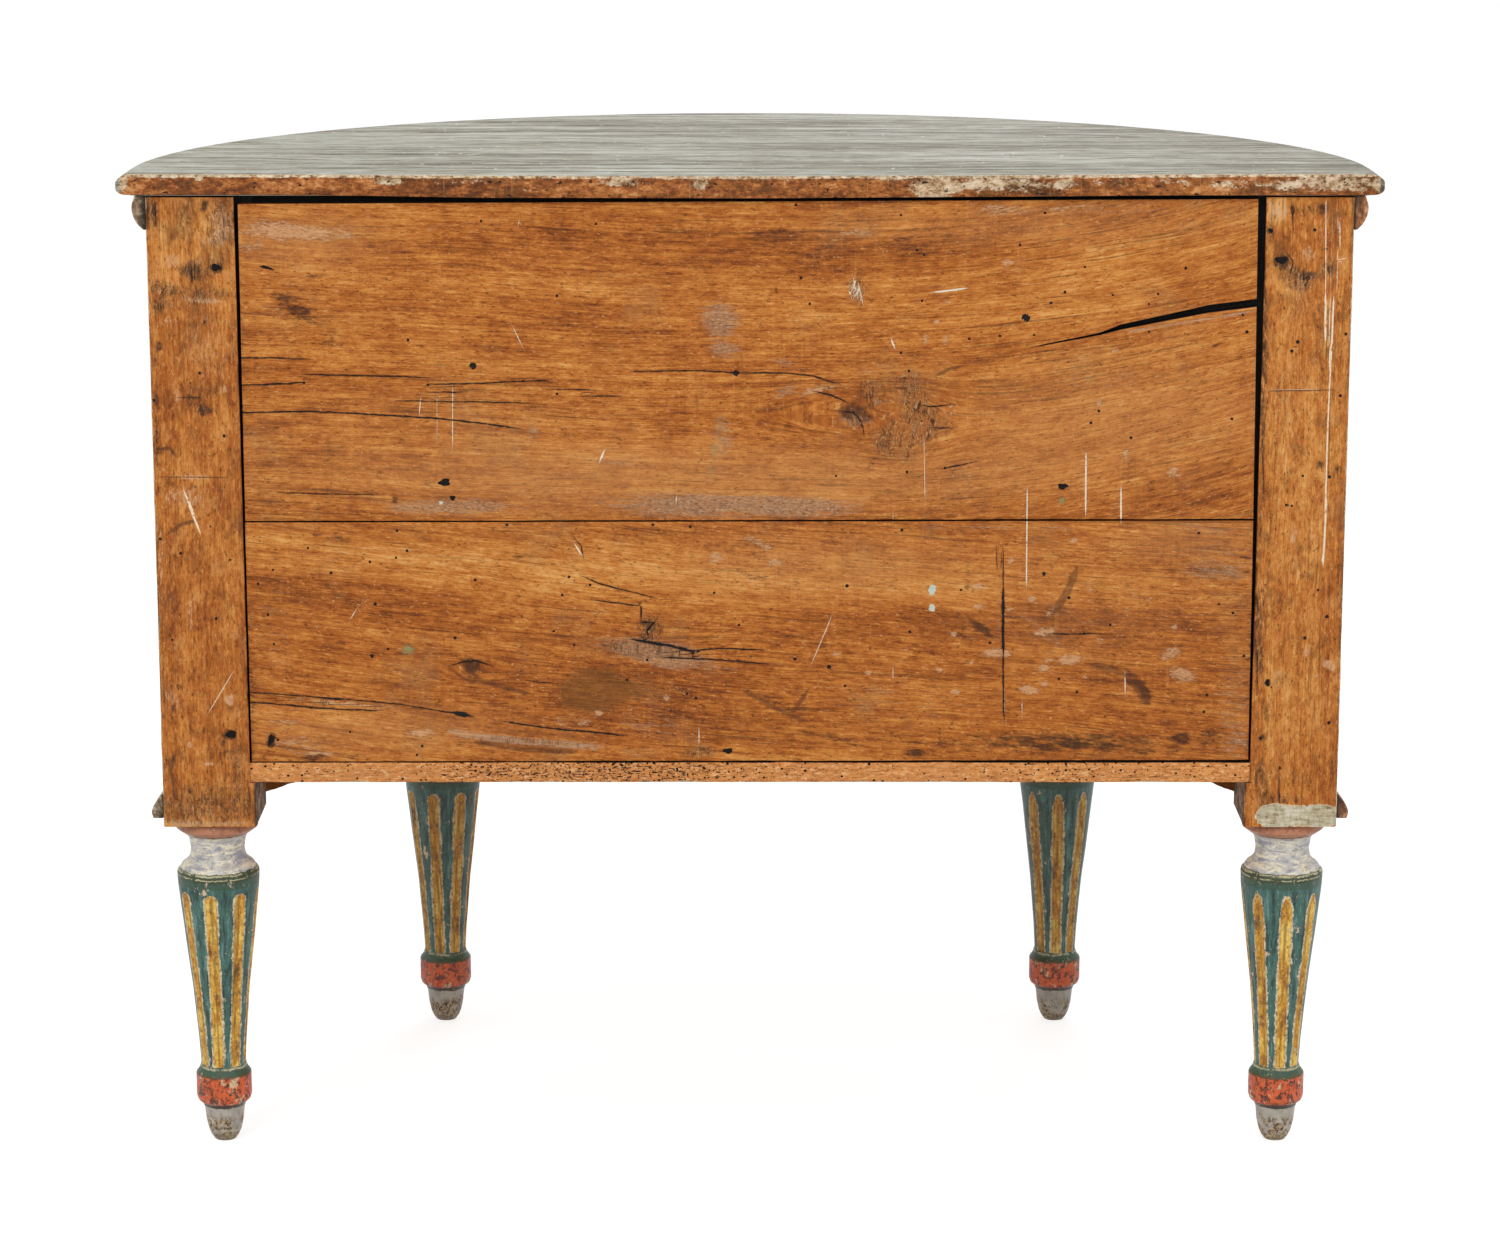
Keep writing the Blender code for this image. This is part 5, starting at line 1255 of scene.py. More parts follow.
def back_board(node, corners, seed, material, lips=None):
    """Back board: its rear face is a fine grid whose rows follow the open crack, if any."""
    low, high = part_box(node)
    top_left, top_right, foot_left, foot_right = (on_plane(pixel, high.y) for pixel in corners)
    columns = round((high.x - low.x) / FINE)
    share = np.linspace(0.0, 1.0, columns)[:, None]
    top = top_left + (top_right - top_left) * share
    foot = foot_left + (foot_right - foot_left) * share
    if lips is None:
        rows = round((high.z - low.z) / FINE)
        levels = np.linspace(foot[:, 2], top[:, 2], rows, axis=1)
    else:
        upper, lower = ([on_plane(pixel, high.y) for pixel in lip] for lip in lips)
        middle_x = (top[:, 0] + foot[:, 0]) / 2
        over = np.interp(middle_x, [p[0] for p in upper], [p[2] for p in upper])
        under = np.interp(middle_x, [p[0] for p in lower], [p[2] for p in lower])
        below = round((over.mean() - low.z) / FINE)
        above = round((high.z - over.mean()) / FINE)
        gap = over - under
        walls = under[:, None] + gap[:, None] * np.array([[0.04, 0.96]])
        levels = np.concatenate([
            np.linspace(foot[:, 2], under, below, axis=1), walls,
            np.linspace(over, top[:, 2], above, axis=1)], axis=1)
    depths = np.zeros_like(levels)
    # The open crack's rows are kept as "open", which the material paints black as painted shade
    opened = np.zeros_like(levels)
    if lips is not None:
        depths[:, below:below + 2] = np.clip((gap - 0.0004) * 9, 0.0, CRACK_DEPTH)[:, None]
        opened[:, below - 1:below + 3] = (gap > 0.0007)[:, None]
    rise = (levels - foot[:, 2:3]) / (top[:, 2:3] - foot[:, 2:3])
    across = foot[:, 0:1] + (top[:, 0:1] - foot[:, 0:1]) * rise
    face = np.stack([across, np.full_like(levels, high.y), levels], axis=-1)
    flat = face.reshape(-1, 3)
    pixels = seen_at(flat)
    depth = wood_relief(flat, "x", seed) + depths.ravel()
    depth += 0.0006 * np.clip(blots(pixels, BOARD_OVALS["dark"]), 0.0, 1.0)
    edge = np.minimum(np.minimum(levels - foot[:, 2:3], top[:, 2:3] - levels).ravel(),
                      np.minimum(flat[:, 0] - foot_right[0], foot_left[0] - flat[:, 0]))
    worn = 1 + rough_noise(flat[:, (0, 2)], (0.03, 0.03), seed + 20)
    depth += 0.0008 * worn * np.exp(-np.maximum(edge, 0.0) / 0.0016)
    face[..., 1] -= depth.reshape(levels.shape)
    front = np.stack([
        np.stack([top[:, 0], np.full(columns, low.y), top[:, 2]], axis=-1),
        np.stack([foot[:, 0], np.full(columns, low.y), foot[:, 2]], axis=-1)], axis=1)
    piece = loft(f"{node}.wood", np.concatenate([face, front], axis=1))
    points = places(piece)
    mark(piece, BOARD_OVALS, BOARD_LINES)
    field(piece, "grain", np.stack([points[:, 0], grain_height(points), points[:, 1]], axis=-1))
    field(piece, "holes", dots(points, HOLES))
    field(piece, "open", np.pad(opened, ((0, 0), (0, 2))).ravel())
    dress(piece, material, (node,))


# Nail: shares of its half sizes and lifts of its rings, and how deep it is sunk
NAIL_RINGS = ((1.0, -0.0034), (1.0, -0.0006), (0.9, 0.0), (0.6, 0.0005), (0.1, 0.0006))
NAIL_SUNK = 0.0004


def nails(material):
    """Hand-made nails, their heads sunk in the boards."""
    rows = [(row, UPPER_BOARD_HIGH.y) for row in NAILS] + [(row, REAR_Y) for row in POST_NAILS]
    for index, ((u, v, half_length, half_width, degrees), plane_y) in enumerate(rows):
        centre = on_plane((u, v), plane_y)
        turns = np.linspace(0.0, 2 * math.pi, 20, endpoint=False)
        uneven = 1 + 0.16 * np.sin(3 * turns + u) + 0.10 * np.sin(5 * turns + v)
        cosine = math.cos(math.radians(degrees))
        sine = math.sin(math.radians(degrees))
        rings = []
        for size, lift in NAIL_RINGS:
            along = size * half_length / 1000 * uneven * np.cos(turns)
            across = size * half_width / 1000 * uneven * np.sin(turns)
            x = centre[0] - along * cosine + across * sine
            z = centre[2] + along * sine + across * cosine
            rings.append(np.stack([x, np.full_like(x, centre[1] + lift - NAIL_SUNK), z], axis=-1))
        dress(loft(f"nail_{index + 1}", rings), material)


def at_level(outline, level):
    """Points of a plan outline at a height."""
    return np.column_stack([outline, np.full(len(outline), level)])


def extruded(outline, levels):
    """Rings of one plan outline at several heights."""
    return np.stack([at_level(outline, level) for level in levels])


def span(low, high, step):
    """Heights from low to high about a step apart."""
    return np.linspace(low, high, max(2, round((high - low) / step) + 1))


# How far a rear post's rabbet leans outwards on its way up, and how far its wood stops
# short of its top
POST_LEAN = 0.0020
POST_SHORT = 0.0012


def post_ring(level, under):
    """Points round the right rear post's section at a height, its rear face first."""
    if under:
        rear_inner = (POST_STEP_X, REAR_Y)
        ledge = (POST_STEP_X, LEDGE_Y)
        notch = (POST_STEP_X, (LEDGE_Y + REAR_Y) / 2)
        front_inner = (POST_STEP_X, REAR_POST_FRONT_Y)
    else:
        lean = POST_LEAN * (level - POST_FOOT) / (POST_HIGH.z - POST_FOOT)
        rear_inner = (POST_INNER_X + RABBET_WIDTH + lean, REAR_Y)
        ledge = (POST_INNER_X, LEDGE_Y)
        notch = (POST_INNER_X + RABBET_WIDTH + lean, LEDGE_Y)
        front_inner = (POST_INNER_X, REAR_POST_FRONT_Y)
    rear = np.linspace(rear_inner, (BODY_HALF_WIDTH, REAR_Y), 42, endpoint=False)
    outer = plan_curve(np.linspace(0.0, angle_at_y(REAR_POST_FRONT_Y), 44))
    front = np.linspace(outer[-1], front_inner, 5)[1:]
    inside = np.linspace(front_inner, ledge, 13)[1:]
    shelf = np.linspace(ledge, notch, 6)[1:]
    wall = np.linspace(notch, rear_inner, 9)[1:-1]
    return at_level(np.concatenate([rear, outer, front, inside, shelf, wall]), level)


# Marks of the posts, as those of the boards

POST_LINES = {
    "cracks": (
        (0.7, (1279, 775), (1279.5, 826)), (0.9, (191, 262), (192, 282)),
        (0.8, (194.6, 262), (195, 276)), (0.35, (1272, 391), (1330, 390)),
        (0.4, (181, 397.6), (200, 397.6), (200, 407)),
        (0.5, (1287, 252), (1293, 262), (1290, 276)), (0.6, (1264, 250), (1266, 330), (1262, 420)),
        (0.6, (1262, 430), (1264, 500)), (0.5, (1258, 600), (1257, 690)),
        (0.4, (1292, 202), (1293, 226)), (0.5, (148, 203), (148, 224)),
        (0.2, (164, 477), (222, 477.4)), (0.5, (155, 204), (156, 222)),
    ),
    "drips": (
        (0.45, (1326, 198), (1325.6, 300)), (1.0, (1325.6, 292), (1325.4, 342)),
        (0.4, (1340, 222), (1340, 249)), (0.9, (1333.7, 296), (1332, 340), (1331, 350)),
        (1.4, (1331, 344), (1330, 372)), (0.7, (1331, 360), (1328, 420), (1325, 516)),
        (0.9, (1326.6, 498), (1325, 530), (1323, 566)), (1.7, (1323.2, 553), (1322.6, 566)),
        (0.3, (1338, 216), (1337, 290)), (0.8, (183, 489), (195, 516)),
        (1.0, (187, 500), (200.6, 534)), (0.35, (233, 672), (221, 692), (209, 712)),
        (0.5, (1337, 260), (1347, 258)), (0.2, (1272, 390), (1318, 389.4)),
    ),
    "smears": (
        (1.8, (168, 534), (182, 524), (198, 520)), (1.8, (159, 449), (170, 448), (177, 458)),
        (1.6, (1288, 270), (1300, 277), (1318, 275)), (1.4, (176, 752), (170, 770), (174, 790)),
    ),
}
POST_OVALS = {
    "dark": (
        (152, 213, 5, 11, 0.6), (181, 219, 5, 14, 0.4), (205, 207, 4, 8, 0.8),
        (217, 268, 6, 5, 1.4), (196, 272, 20, 12, 0.5, 20), (231, 735, 6, 5, 1.4),
        (190, 252, 3, 24, 0.5), (226, 760, 8, 26, 0.32), (185, 600, 20, 60, 0.12),
        (155, 450, 6, 150, 0.44), (240, 420, 4, 200, 0.24), (200, 800, 44, 24, 0.4),
        (214, 505, 14, 6, 0.4, 20), (178, 690, 12, 30, 0.35), (1282, 262, 8, 6, 1.2),
        (1296, 274, 22, 8, 0.5, 14), (1270, 231, 3, 3, 1.4), (1312, 275, 9, 3, 0.9, -20),
        (1267.5, 683, 4, 5, 0.5), (1261, 738, 3, 3, 0.5), (1258, 620, 5, 80, 0.5),
        (1282, 800, 30, 6, 0.5), (1300, 645, 18, 30, 0.2), (1340, 500, 6, 160, 0.3),
        (1264, 330, 6, 60, 0.5), (1315, 210, 26, 6, 0.35), (1268, 555, 4, 60, 0.4),
        (1330, 269, 4.5, 4.5, 1.0), (160, 346, 3, 5, 1.0), (205, 590, 5, 30, 0.25),
        (230, 236, 5, 20, 0.35), (160, 287, 9, 4, 0.4), (160, 305, 8, 5, 0.4),
        (1296, 355, 6, 22, 0.25), (1312, 470, 5, 30, 0.2), (1286, 575, 12, 8, 0.3),
        (1330, 705, 8, 20, 0.25), (1262, 740, 4, 24, 0.25), (205, 700, 6, 30, 0.2),
        (205, 411, 7, 5, 0.55), (193, 405, 26, 16, 0.35), (164, 452, 12, 5, 0.5, 20),
        (1292, 210, 3, 7, 0.7), (1322, 208, 3, 7, 0.7), (1320, 466, 4, 6, 0.8),
        (1337, 468, 4, 4, 0.6), (170, 760, 16, 8, 0.5, -20), (212, 740, 16, 18, 0.35),
        (208, 390, 10, 4, 0.3), (190, 395, 8, 12, 0.3), (1266, 720, 4, 40, 0.2),
    ),
    "pale": (
        (222, 226, 12, 26, 0.6), (1278, 211, 13, 12, 0.5), (1300, 282, 16, 10, 0.3),
        (180, 823, 22, 4, 0.5), (234, 823, 18, 3, 0.5), (206, 824, 26, 2.4, 0.5),
        (160, 560, 4, 40, 0.4), (1300, 300, 10, 18, 0.3), (205, 350, 26, 60, 0.2),
        (1306, 652, 2.5, 6, 0.8), (1327, 664, 4.5, 4, 1.0), (1332, 667, 3.5, 4, 1.0),
        (1290, 420, 14, 90, 0.2), (1312, 540, 4, 10, 0.2), (176, 395, 5, 10, 0.4),
        (224, 390, 6, 5, 0.4), (172, 261, 9, 8, 0.5), (205, 240, 8, 6, 0.4, 20),
        (196, 262, 9, 4, 0.4, -20), (190, 477, 30, 3, 0.5), (207, 764, 2, 1.8, 1.4),
        (212, 764, 2, 1.8, 1.4), (1294, 536, 3.5, 12, 0.5, 8), (1316.6, 675.6, 2, 2, 1.2),
        (1279, 673, 2, 3, 0.9), (185, 497, 26, 12, 0.4), (1308, 254, 8, 8, 0.5),
        (172, 700, 12, 14, 0.3), (232, 700, 6, 6, 0.5), (190, 612, 6, 20, 0.34),
        (1316, 360, 4, 4, 0.3), (200, 300, 30, 3, 0.5, 4), (166, 322, 12, 5, 0.35),
        (162, 800, 10, 20, 0.45), (190, 745, 3, 3, 0.8), (228, 700, 4, 5, 0.6),
    ),
    "torn": (
        (1296, 278, 15, 11, 0.9, 20), (1283, 262, 10, 8, 0.6), (1330, 269, 8, 7, 0.7),
        (1312, 280, 12, 6, 0.6, -20), (1270, 232, 5, 9, 0.5), (196, 293, 40, 6, 0.6, 2),
        (152, 214, 7, 14, 0.8), (160, 287, 12, 7, 0.8), (161, 305, 11, 8, 0.8),
        (200, 808, 46, 18, 0.55), (216, 262, 10, 7, 0.6), (222, 222, 16, 30, 0.6),
        (186, 215, 12, 24, 0.4), (196, 272, 12, 14, 0.45), (238, 780, 6, 40, 0.4),
        (1262, 790, 8, 24, 0.2), (1279, 680, 7, 8, 0.3),
    ),
    # Worm-eaten inner border
    "eaten": (
        (1264, 320, 5, 40, 0.7), (1262, 400, 6, 50, 0.9), (1260, 630, 5, 60, 0.9),
        (1261, 500, 4, 50, 0.6), (1262, 790, 8, 30, 0.7), (1268, 240, 4, 30, 0.5),
        (146, 213, 4, 14, 0.8), (150, 300, 4, 30, 0.6), (246, 800, 5, 24, 0.6),
        (150, 800, 6, 24, 0.5), (200, 822, 50, 3, 0.3),
    ),
}
POST_TONE_MARKS = (
    (190, 620, 40, 70, -0.04), (180, 395, 30, 60, -0.08), (185, 245, 40, 40, 0.09),
    (200, 420, 30, 60, 0.03), (1300, 460, 40, 120, 0.08), (1290, 700, 40, 70, 0.04),
    (1300, 235, 40, 30, -0.05), (1262, 400, 8, 200, -0.08), (230, 300, 14, 60, 0.04),
    (1278, 211, 12, 14, 0.24), (200, 824, 60, 5, 0.16),
)
POST_PAINT_MARKS = (
    (1272, 816, 17, 13, 0.9), (1297, 816, 32, 12, 0.9), (1324, 817, 16, 12, 0.9),
)
POST_HOLES = (
    (199.5, 373, 1), (154, 400.6, 1.2), (224, 436, 1.2), (160, 539, 1.2), (180.7, 553.5, 1.1),
    (216, 618.8, 1.1), (1314.6, 230, 1.2), (1326, 249, 1), (1298, 342, 1.3), (1292, 351, 1.2),
    (1346, 334, 1.1), (1340.5, 395.7, 1.2), (1329.5, 477, 1.2), (1327, 616.7, 1.3),
    (1305, 638, 1.2), (1329, 723, 1.3), (1303, 476, 0.9), (1286, 505, 0.9), (1318, 590, 0.9),
    (1280, 768, 1), (1260.8, 738.5, 1.1), (1292, 506, 0.8), (1270.7, 231, 1.6), (172, 640, 0.9),
    (230, 560, 0.9),
)
POST_NAILS = (
    (215.5, 267.5, 4, 3, 0), (230.8, 734.7, 4.6, 3.2, 10), (1281.7, 260, 5.8, 3, 4),
    (1267.6, 683, 2.1, 3.4, 0),
)
POST_TONE_STRENGTH = 1.3

# Knot of the left post, and how wide and how high it bends the grain
POST_KNOT = (0.490, 0.800)
POST_KNOT_SIZE = (0.012, 0.03)


def rear_post(side, word, material):
    """Rear post with worn arrises and pits, stepped back under the bottom board."""
    shelf = FLOOR_BOARD_LOW.z - FIT
    low_levels = span(POST_FOOT, shelf, FINE)
    high_levels = span(shelf, POST_HIGH.z - POST_SHORT, FINE)
    rings = np.array([post_ring(level, True) for level in low_levels]
                     + [post_ring(level, False) for level in high_levels])
    flat = rings.reshape(-1, 3)
    mirror = np.array([side, 1.0, 1.0])
    x, y, z = flat.T
    seed = 40 if side > 0 else 60
    rear = y > REAR_Y - ON_PLANE
    inner = np.repeat(rings[:, 0, 0], rings.shape[1])
    ragged = 1 + 0.9 * rough_noise(flat[:, (1, 2)] * (0.2, 1), 0.028, seed)
    bites = np.clip(rough_noise(flat[:, (1, 2)] * (0.2, 1), 0.06, seed + 5) - 0.35, 0, 1)
    to_outer = np.clip(1 - (BODY_HALF_WIDTH - x) / (0.003 + 0.004 * bites), 0, 1)
    to_inner = np.clip(1 - (x - inner) / 0.003, 0, 1)
    to_top = np.clip(1 - (POST_HIGH.z - z) / 0.004, 0, 1)
    depth = wood_relief(flat, "z", seed) + 0.0016 * ragged * to_outer ** 2
    depth += 0.0012 * bites * to_outer + 0.0012 * ragged * to_inner ** 2 + 0.001 * to_top ** 2
    marks = np.clip(blots(seen_at(flat * mirror), POST_OVALS["dark"]), 0.0, 1.2)
    torn = 0.5 + 0.5 * noise(flat[:, (0, 2)], (0.004, 0.010), seed + 9)
    depth += 0.0022 * marks * torn
    flat[:, 1] -= np.where(rear, depth, 0.0)
    outer = (~rear) & (x > BODY_HALF_WIDTH - 0.012) & (y > REAR_POST_FRONT_Y + 0.0001)
    bend = np.clip(1 - (REAR_Y - y) / 0.004, 0, 1)
    flat[:, 0] -= np.where(outer, (0.0006 * ragged + 0.0012 * bites) * bend ** 2, 0.0)
    piece = loft(f"rear_post_{word}.wood", (flat * mirror).reshape(rings.shape))
    points = places(piece)
    x, y, z = points.T
    pixels = seen_at(points)
    bend_x = 0.004 * rough_noise(points[:, (0, 2)], (0.06, 0.22), seed + 3)
    if side < 0:
        aside = x + POST_KNOT[0]
        across = aside / POST_KNOT_SIZE[0]
        along = (z - POST_KNOT[1]) / POST_KNOT_SIZE[1]
        bend_x += aside * 0.8 * np.exp(-across ** 2 - along ** 2)
    field(piece, "grain", np.stack([z, x + bend_x, y], axis=-1))
    behind = (y > REAR_Y - 0.012) & (np.abs(x) < BODY_HALF_WIDTH - 0.0035)
    mark(piece, POST_OVALS, POST_LINES, behind)
    field(piece, "tone", POST_TONE_STRENGTH * blots(pixels, POST_TONE_MARKS))
    field(piece, "holes", dots(points, POST_HOLES) * (y > REAR_Y - MARKED_DEPTH)[:, None])
    under_board = (z < shelf) & (np.abs(x) < POST_STEP_X + 0.0004) & (y < REAR_Y - 0.0012)
    field(piece, "primed", np.where(under_board, 1.0, 0.0))
    edge = np.abs(x) - BODY_HALF_WIDTH
    round_side = np.clip((REAR_Y - y) / 0.004, 0.0, 1.0) * smooth_step(edge, -0.020, -0.014)
    rim = 0.56 * np.clip(1 + edge / 0.0028, 0.0, 1.0)
    foot = 0.86 * np.clip(1.15 * blots(pixels, POST_PAINT_MARKS), 0.0, 1.0)
    foot *= y > REAR_Y - MARKED_DEPTH
    round_side = np.where(rear, 0.0, round_side)
    field(piece, "painted", np.maximum(np.maximum(round_side, rim), foot))
    # Painted shade: black on the rabbet's walls behind the boards' ends
    in_rabbet = (z > shelf) & (y > LEDGE_Y - 0.0002)
    in_rabbet &= np.abs(x) < POST_INNER_X + RABBET_WIDTH + 0.0025
    field(piece, "recess_shade", in_rabbet * smooth_step(REAR_Y - y, 0.0022, 0.0040))
    dress(piece, material, (f"rear_post_{word}",))


# Top: how far its rings lie in from its rim, under it and on it, on its curve and at its rear edge
TOP_UNDERSIDE = ((0.030, 0.020), (0.014, 0.008))
TOP_UPPER_SIDE = ((0.0085, 0.0015), (0.0105, 0.0035), (0.014, 0.007))

# The top's rear edge: how far in mm its upper arris sags and its lower one rises, at pixels across
TOP_SAG = (
    (110, 0.4), (240, 0.6), (480, 1.4), (750, 2), (1030, 1.2), (1200, 0.3), (1390, 0),
)
FOOT_RISE = (
    (110, 2), (240, 2.2), (330, 1.2), (480, -1), (750, -1.5), (1030, 0), (1195, 1.3), (1390, 1.8),
)

# How far the top's front sags
FRONT_SAG = 0.0028

# Patches of old paint on the top's rear edge
EDGE_PAINT_MARKS = (
    (934, 188, 22, 10, 0.95), (985, 183, 40, 10, 0.5), (1030, 186, 24, 9, 0.28),
    (1318, 182, 34, 9, 0.5), (1358, 184, 26, 9, 0.42), (1240, 184, 50, 6, 0.3),
    (1110, 182, 40, 5, 0.25), (388, 181, 16, 4, 0.8), (150, 179, 30, 5, 0.2),
    (620, 182, 24, 5, 0.5), (700, 184, 10, 7, 0.5), (1172, 181, 22, 4, 0.3),
    (540, 190, 30, 4, 0.2), (1065, 184, 14, 7, 0.4), (890, 178, 16, 4, 0.4),
    (1285, 190, 14, 5, 0.3), (470, 181, 40, 4, 0.25), (198, 178, 5, 4, 0.6),
    (1385, 184, 10, 9, 0.7), (120, 184, 8, 8, 0.8), (760, 178, 60, 3, 0.3),
)

# Dirty joints and streaks of the top: half width, then the line
TOP_JOINTS = (
    (0.55, (420, 132.6), (520, 131), (714, 131.6), (841, 131.2), (967, 133), (1080, 134.6),
     (1140, 137)),
    (0.4, (420, 165), (560, 164.6), (714, 164)), (0.35, (640, 157), (760, 156), (860, 158)),
    (0.45, (350, 164.4), (480, 163.6)), (0.35, (860, 144), (960, 145), (1080, 148)),
    (0.3, (250, 158), (330, 160)), (0.3, (900, 163), (1010, 161)), (0.3, (1060, 160), (1180, 156)),
    (1.2, (178, 161.6), (184, 161.8)), (1.3, (184, 162.2), (191, 162.5)),
    (0.3, (480, 122), (640, 120)), (0.3, (700, 147), (840, 150)), (0.3, (540, 142), (640, 143)),
)

# Points round the top's curve and along its rear edge, its rings inwards and their middle
TOP_CURVE_POINTS = 320
TOP_EDGE_POINTS = 561
TOP_RINGS = 34
TOP_MIDDLE_Y = 0.06


def top_board(material):
    """Top: rings round its rim, up its nosing and in to its middle, with a chipped rear edge."""
    rear = TOP_HIGH.y
    arc = np.linspace(0.0, math.pi / 2, 6)
    low_arc = [(NOSING_RADIUS * (1 - math.sin(a)), NOSING_RADIUS * (1 - math.cos(a))) for a in arc]
    thickness = TOP_HIGH.z - TOP_LOW.z
    high_arc = [(inset, thickness - rise) for inset, rise in reversed(low_arc)]
    profile = [(inset, 0.0, rear_inset) for inset, rear_inset in TOP_UNDERSIDE]
    profile += [(inset, rise, 0.0) for inset, rise in low_arc]
    straight_part = np.linspace(NOSING_RADIUS, thickness - NOSING_RADIUS, 6)[1:-1]
    profile += [(0.0, rise, 0.0) for rise in straight_part]
    profile += [(inset, rise, 0.0) for inset, rise in high_arc]
    profile += [(inset, thickness, rear_inset) for inset, rear_inset in TOP_UPPER_SIDE]
    angles = np.linspace(0.0, math.pi, TOP_CURVE_POINTS)
    rings = []
    for inset, rise, rear_inset in profile:
        curve = plan_curve(angles, TOP_OVERHANG - inset)
        end = rear - rear_inset
        left = curve[-1][0]
        right = curve[0][0]
        short = np.linspace((left, REAR_Y), (left, end), 5)[1:]
        long = np.linspace((left, end), (right, end), TOP_EDGE_POINTS)[1:]
        back = np.linspace((right, end), (right, REAR_Y), 5)[1:-1]
        rings.append(at_level(np.concatenate([curve, short, long, back]), TOP_LOW.z + rise))
    centre = np.array([0.0, TOP_MIDDLE_Y, TOP_HIGH.z])
    for share in np.linspace(0.985, 0.02, TOP_RINGS):
        rings.append(centre + (rings[len(profile) - 1] - centre) * share)
    rings = np.array(rings)
    flat = rings.reshape(-1, 3)
    x, y, z = flat.T
    rise = (z - TOP_LOW.z) / thickness
    near = np.clip(1 - (rear - y) / 0.006, 0.0, 1.0)
    ragged = np.clip(1 + rough_noise(flat * (1, 0.3, 1), (0.05, 0.01, 0.006), 5), 0.0, 2.0)
    bites = np.clip(rough_noise(flat[:, :1], 0.045, 9) - 0.55, 0.0, 1.0)
    small_bites = np.clip(rough_noise(flat[:, :1], 0.012, 31) - 0.7, 0.0, 1.0)
    upper = smooth_step(z, TOP_HIGH.z - 0.004, TOP_HIGH.z)
    lower = smooth_step(TOP_LOW.z + 0.004 - z, 0.0, 0.004)
    u = seen_at(flat)[:, 0]
    flat[:, 1] -= near * (0.0003 * ragged + 0.0009 * upper * ragged + 0.004 * bites * upper)
    flat[:, 1] -= near * (0.003 * small_bites * upper + 0.0009 * lower * ragged)
    sag = np.interp(u, *zip(*TOP_SAG)) / 1000 + 0.0026 * smooth_step(np.abs(x), 0.548, 0.559)
    sag = sag * np.clip(1 - (rear - y) / 0.25, 0.0, 1.0)
    sag += FRONT_SAG * smooth_step(rear - y, 0.10, BODY_DEPTH)
    sag += np.where(rise > 0.999, near ** 2 * 0.0008 * ragged, 0.0)
    sag += np.where(rise > 0.99, 0.00025 * (1 + noise(flat[:, :2], (0.3, 0.06), 2)), 0.0)
    lift = np.interp(u, *zip(*FOOT_RISE)) / 1000 * smooth_step(y, rear - 0.0085, rear - 0.003)
    flat[:, 2] += (1 - rise) * lift - rise * sag
    piece = loft("top_board.wood", rings)
    points = places(piece)
    x, y, z = points.T
    pixels = seen_at(points)
    top_z = TOP_HIGH.z - np.interp(pixels[:, 0], *zip(*TOP_SAG)) / 1000
    behind = np.clip(1 - (rear - y - 0.0018) / 0.0030, 0.0, 1.0)
    below = smooth_step(top_z - z, 0.0004, 0.0016)
    inside = smooth_step(BODY_HALF_WIDTH + TOP_OVERHANG - np.abs(x), 0.0020, 0.0060)
    field(piece, "face", np.minimum(behind * 1.4, 1.0) * below * inside)
    field(piece, "arris", np.clip(1 - np.abs(rear - y - 0.0030) / 0.0040, 0.0, 1.0) * (1 - below))
    field(piece, "rim", np.clip(1 - np.abs(top_z - z - 0.0014) / 0.0026, 0.0, 1.0) * (behind > 0.3))
    field(piece, "paint", blots(pixels, EDGE_PAINT_MARKS) * behind)
    field(piece, "joints", strokes(pixels, TOP_JOINTS, LINE_REACH["joints"]))
    dress(piece, material, ("top_board",))


# Stretches of the bottom board's edge that the worm has eaten most
WORM_MARKS = (
    (630, 772, 160, 14, 1.0), (1090, 772, 150, 14, 0.6), (313, 772, 30, 10, 0.5),
    (850, 772, 60, 12, 0.4), (470, 772, 60, 12, 0.5), (270, 772, 20, 8, 0.3),
)


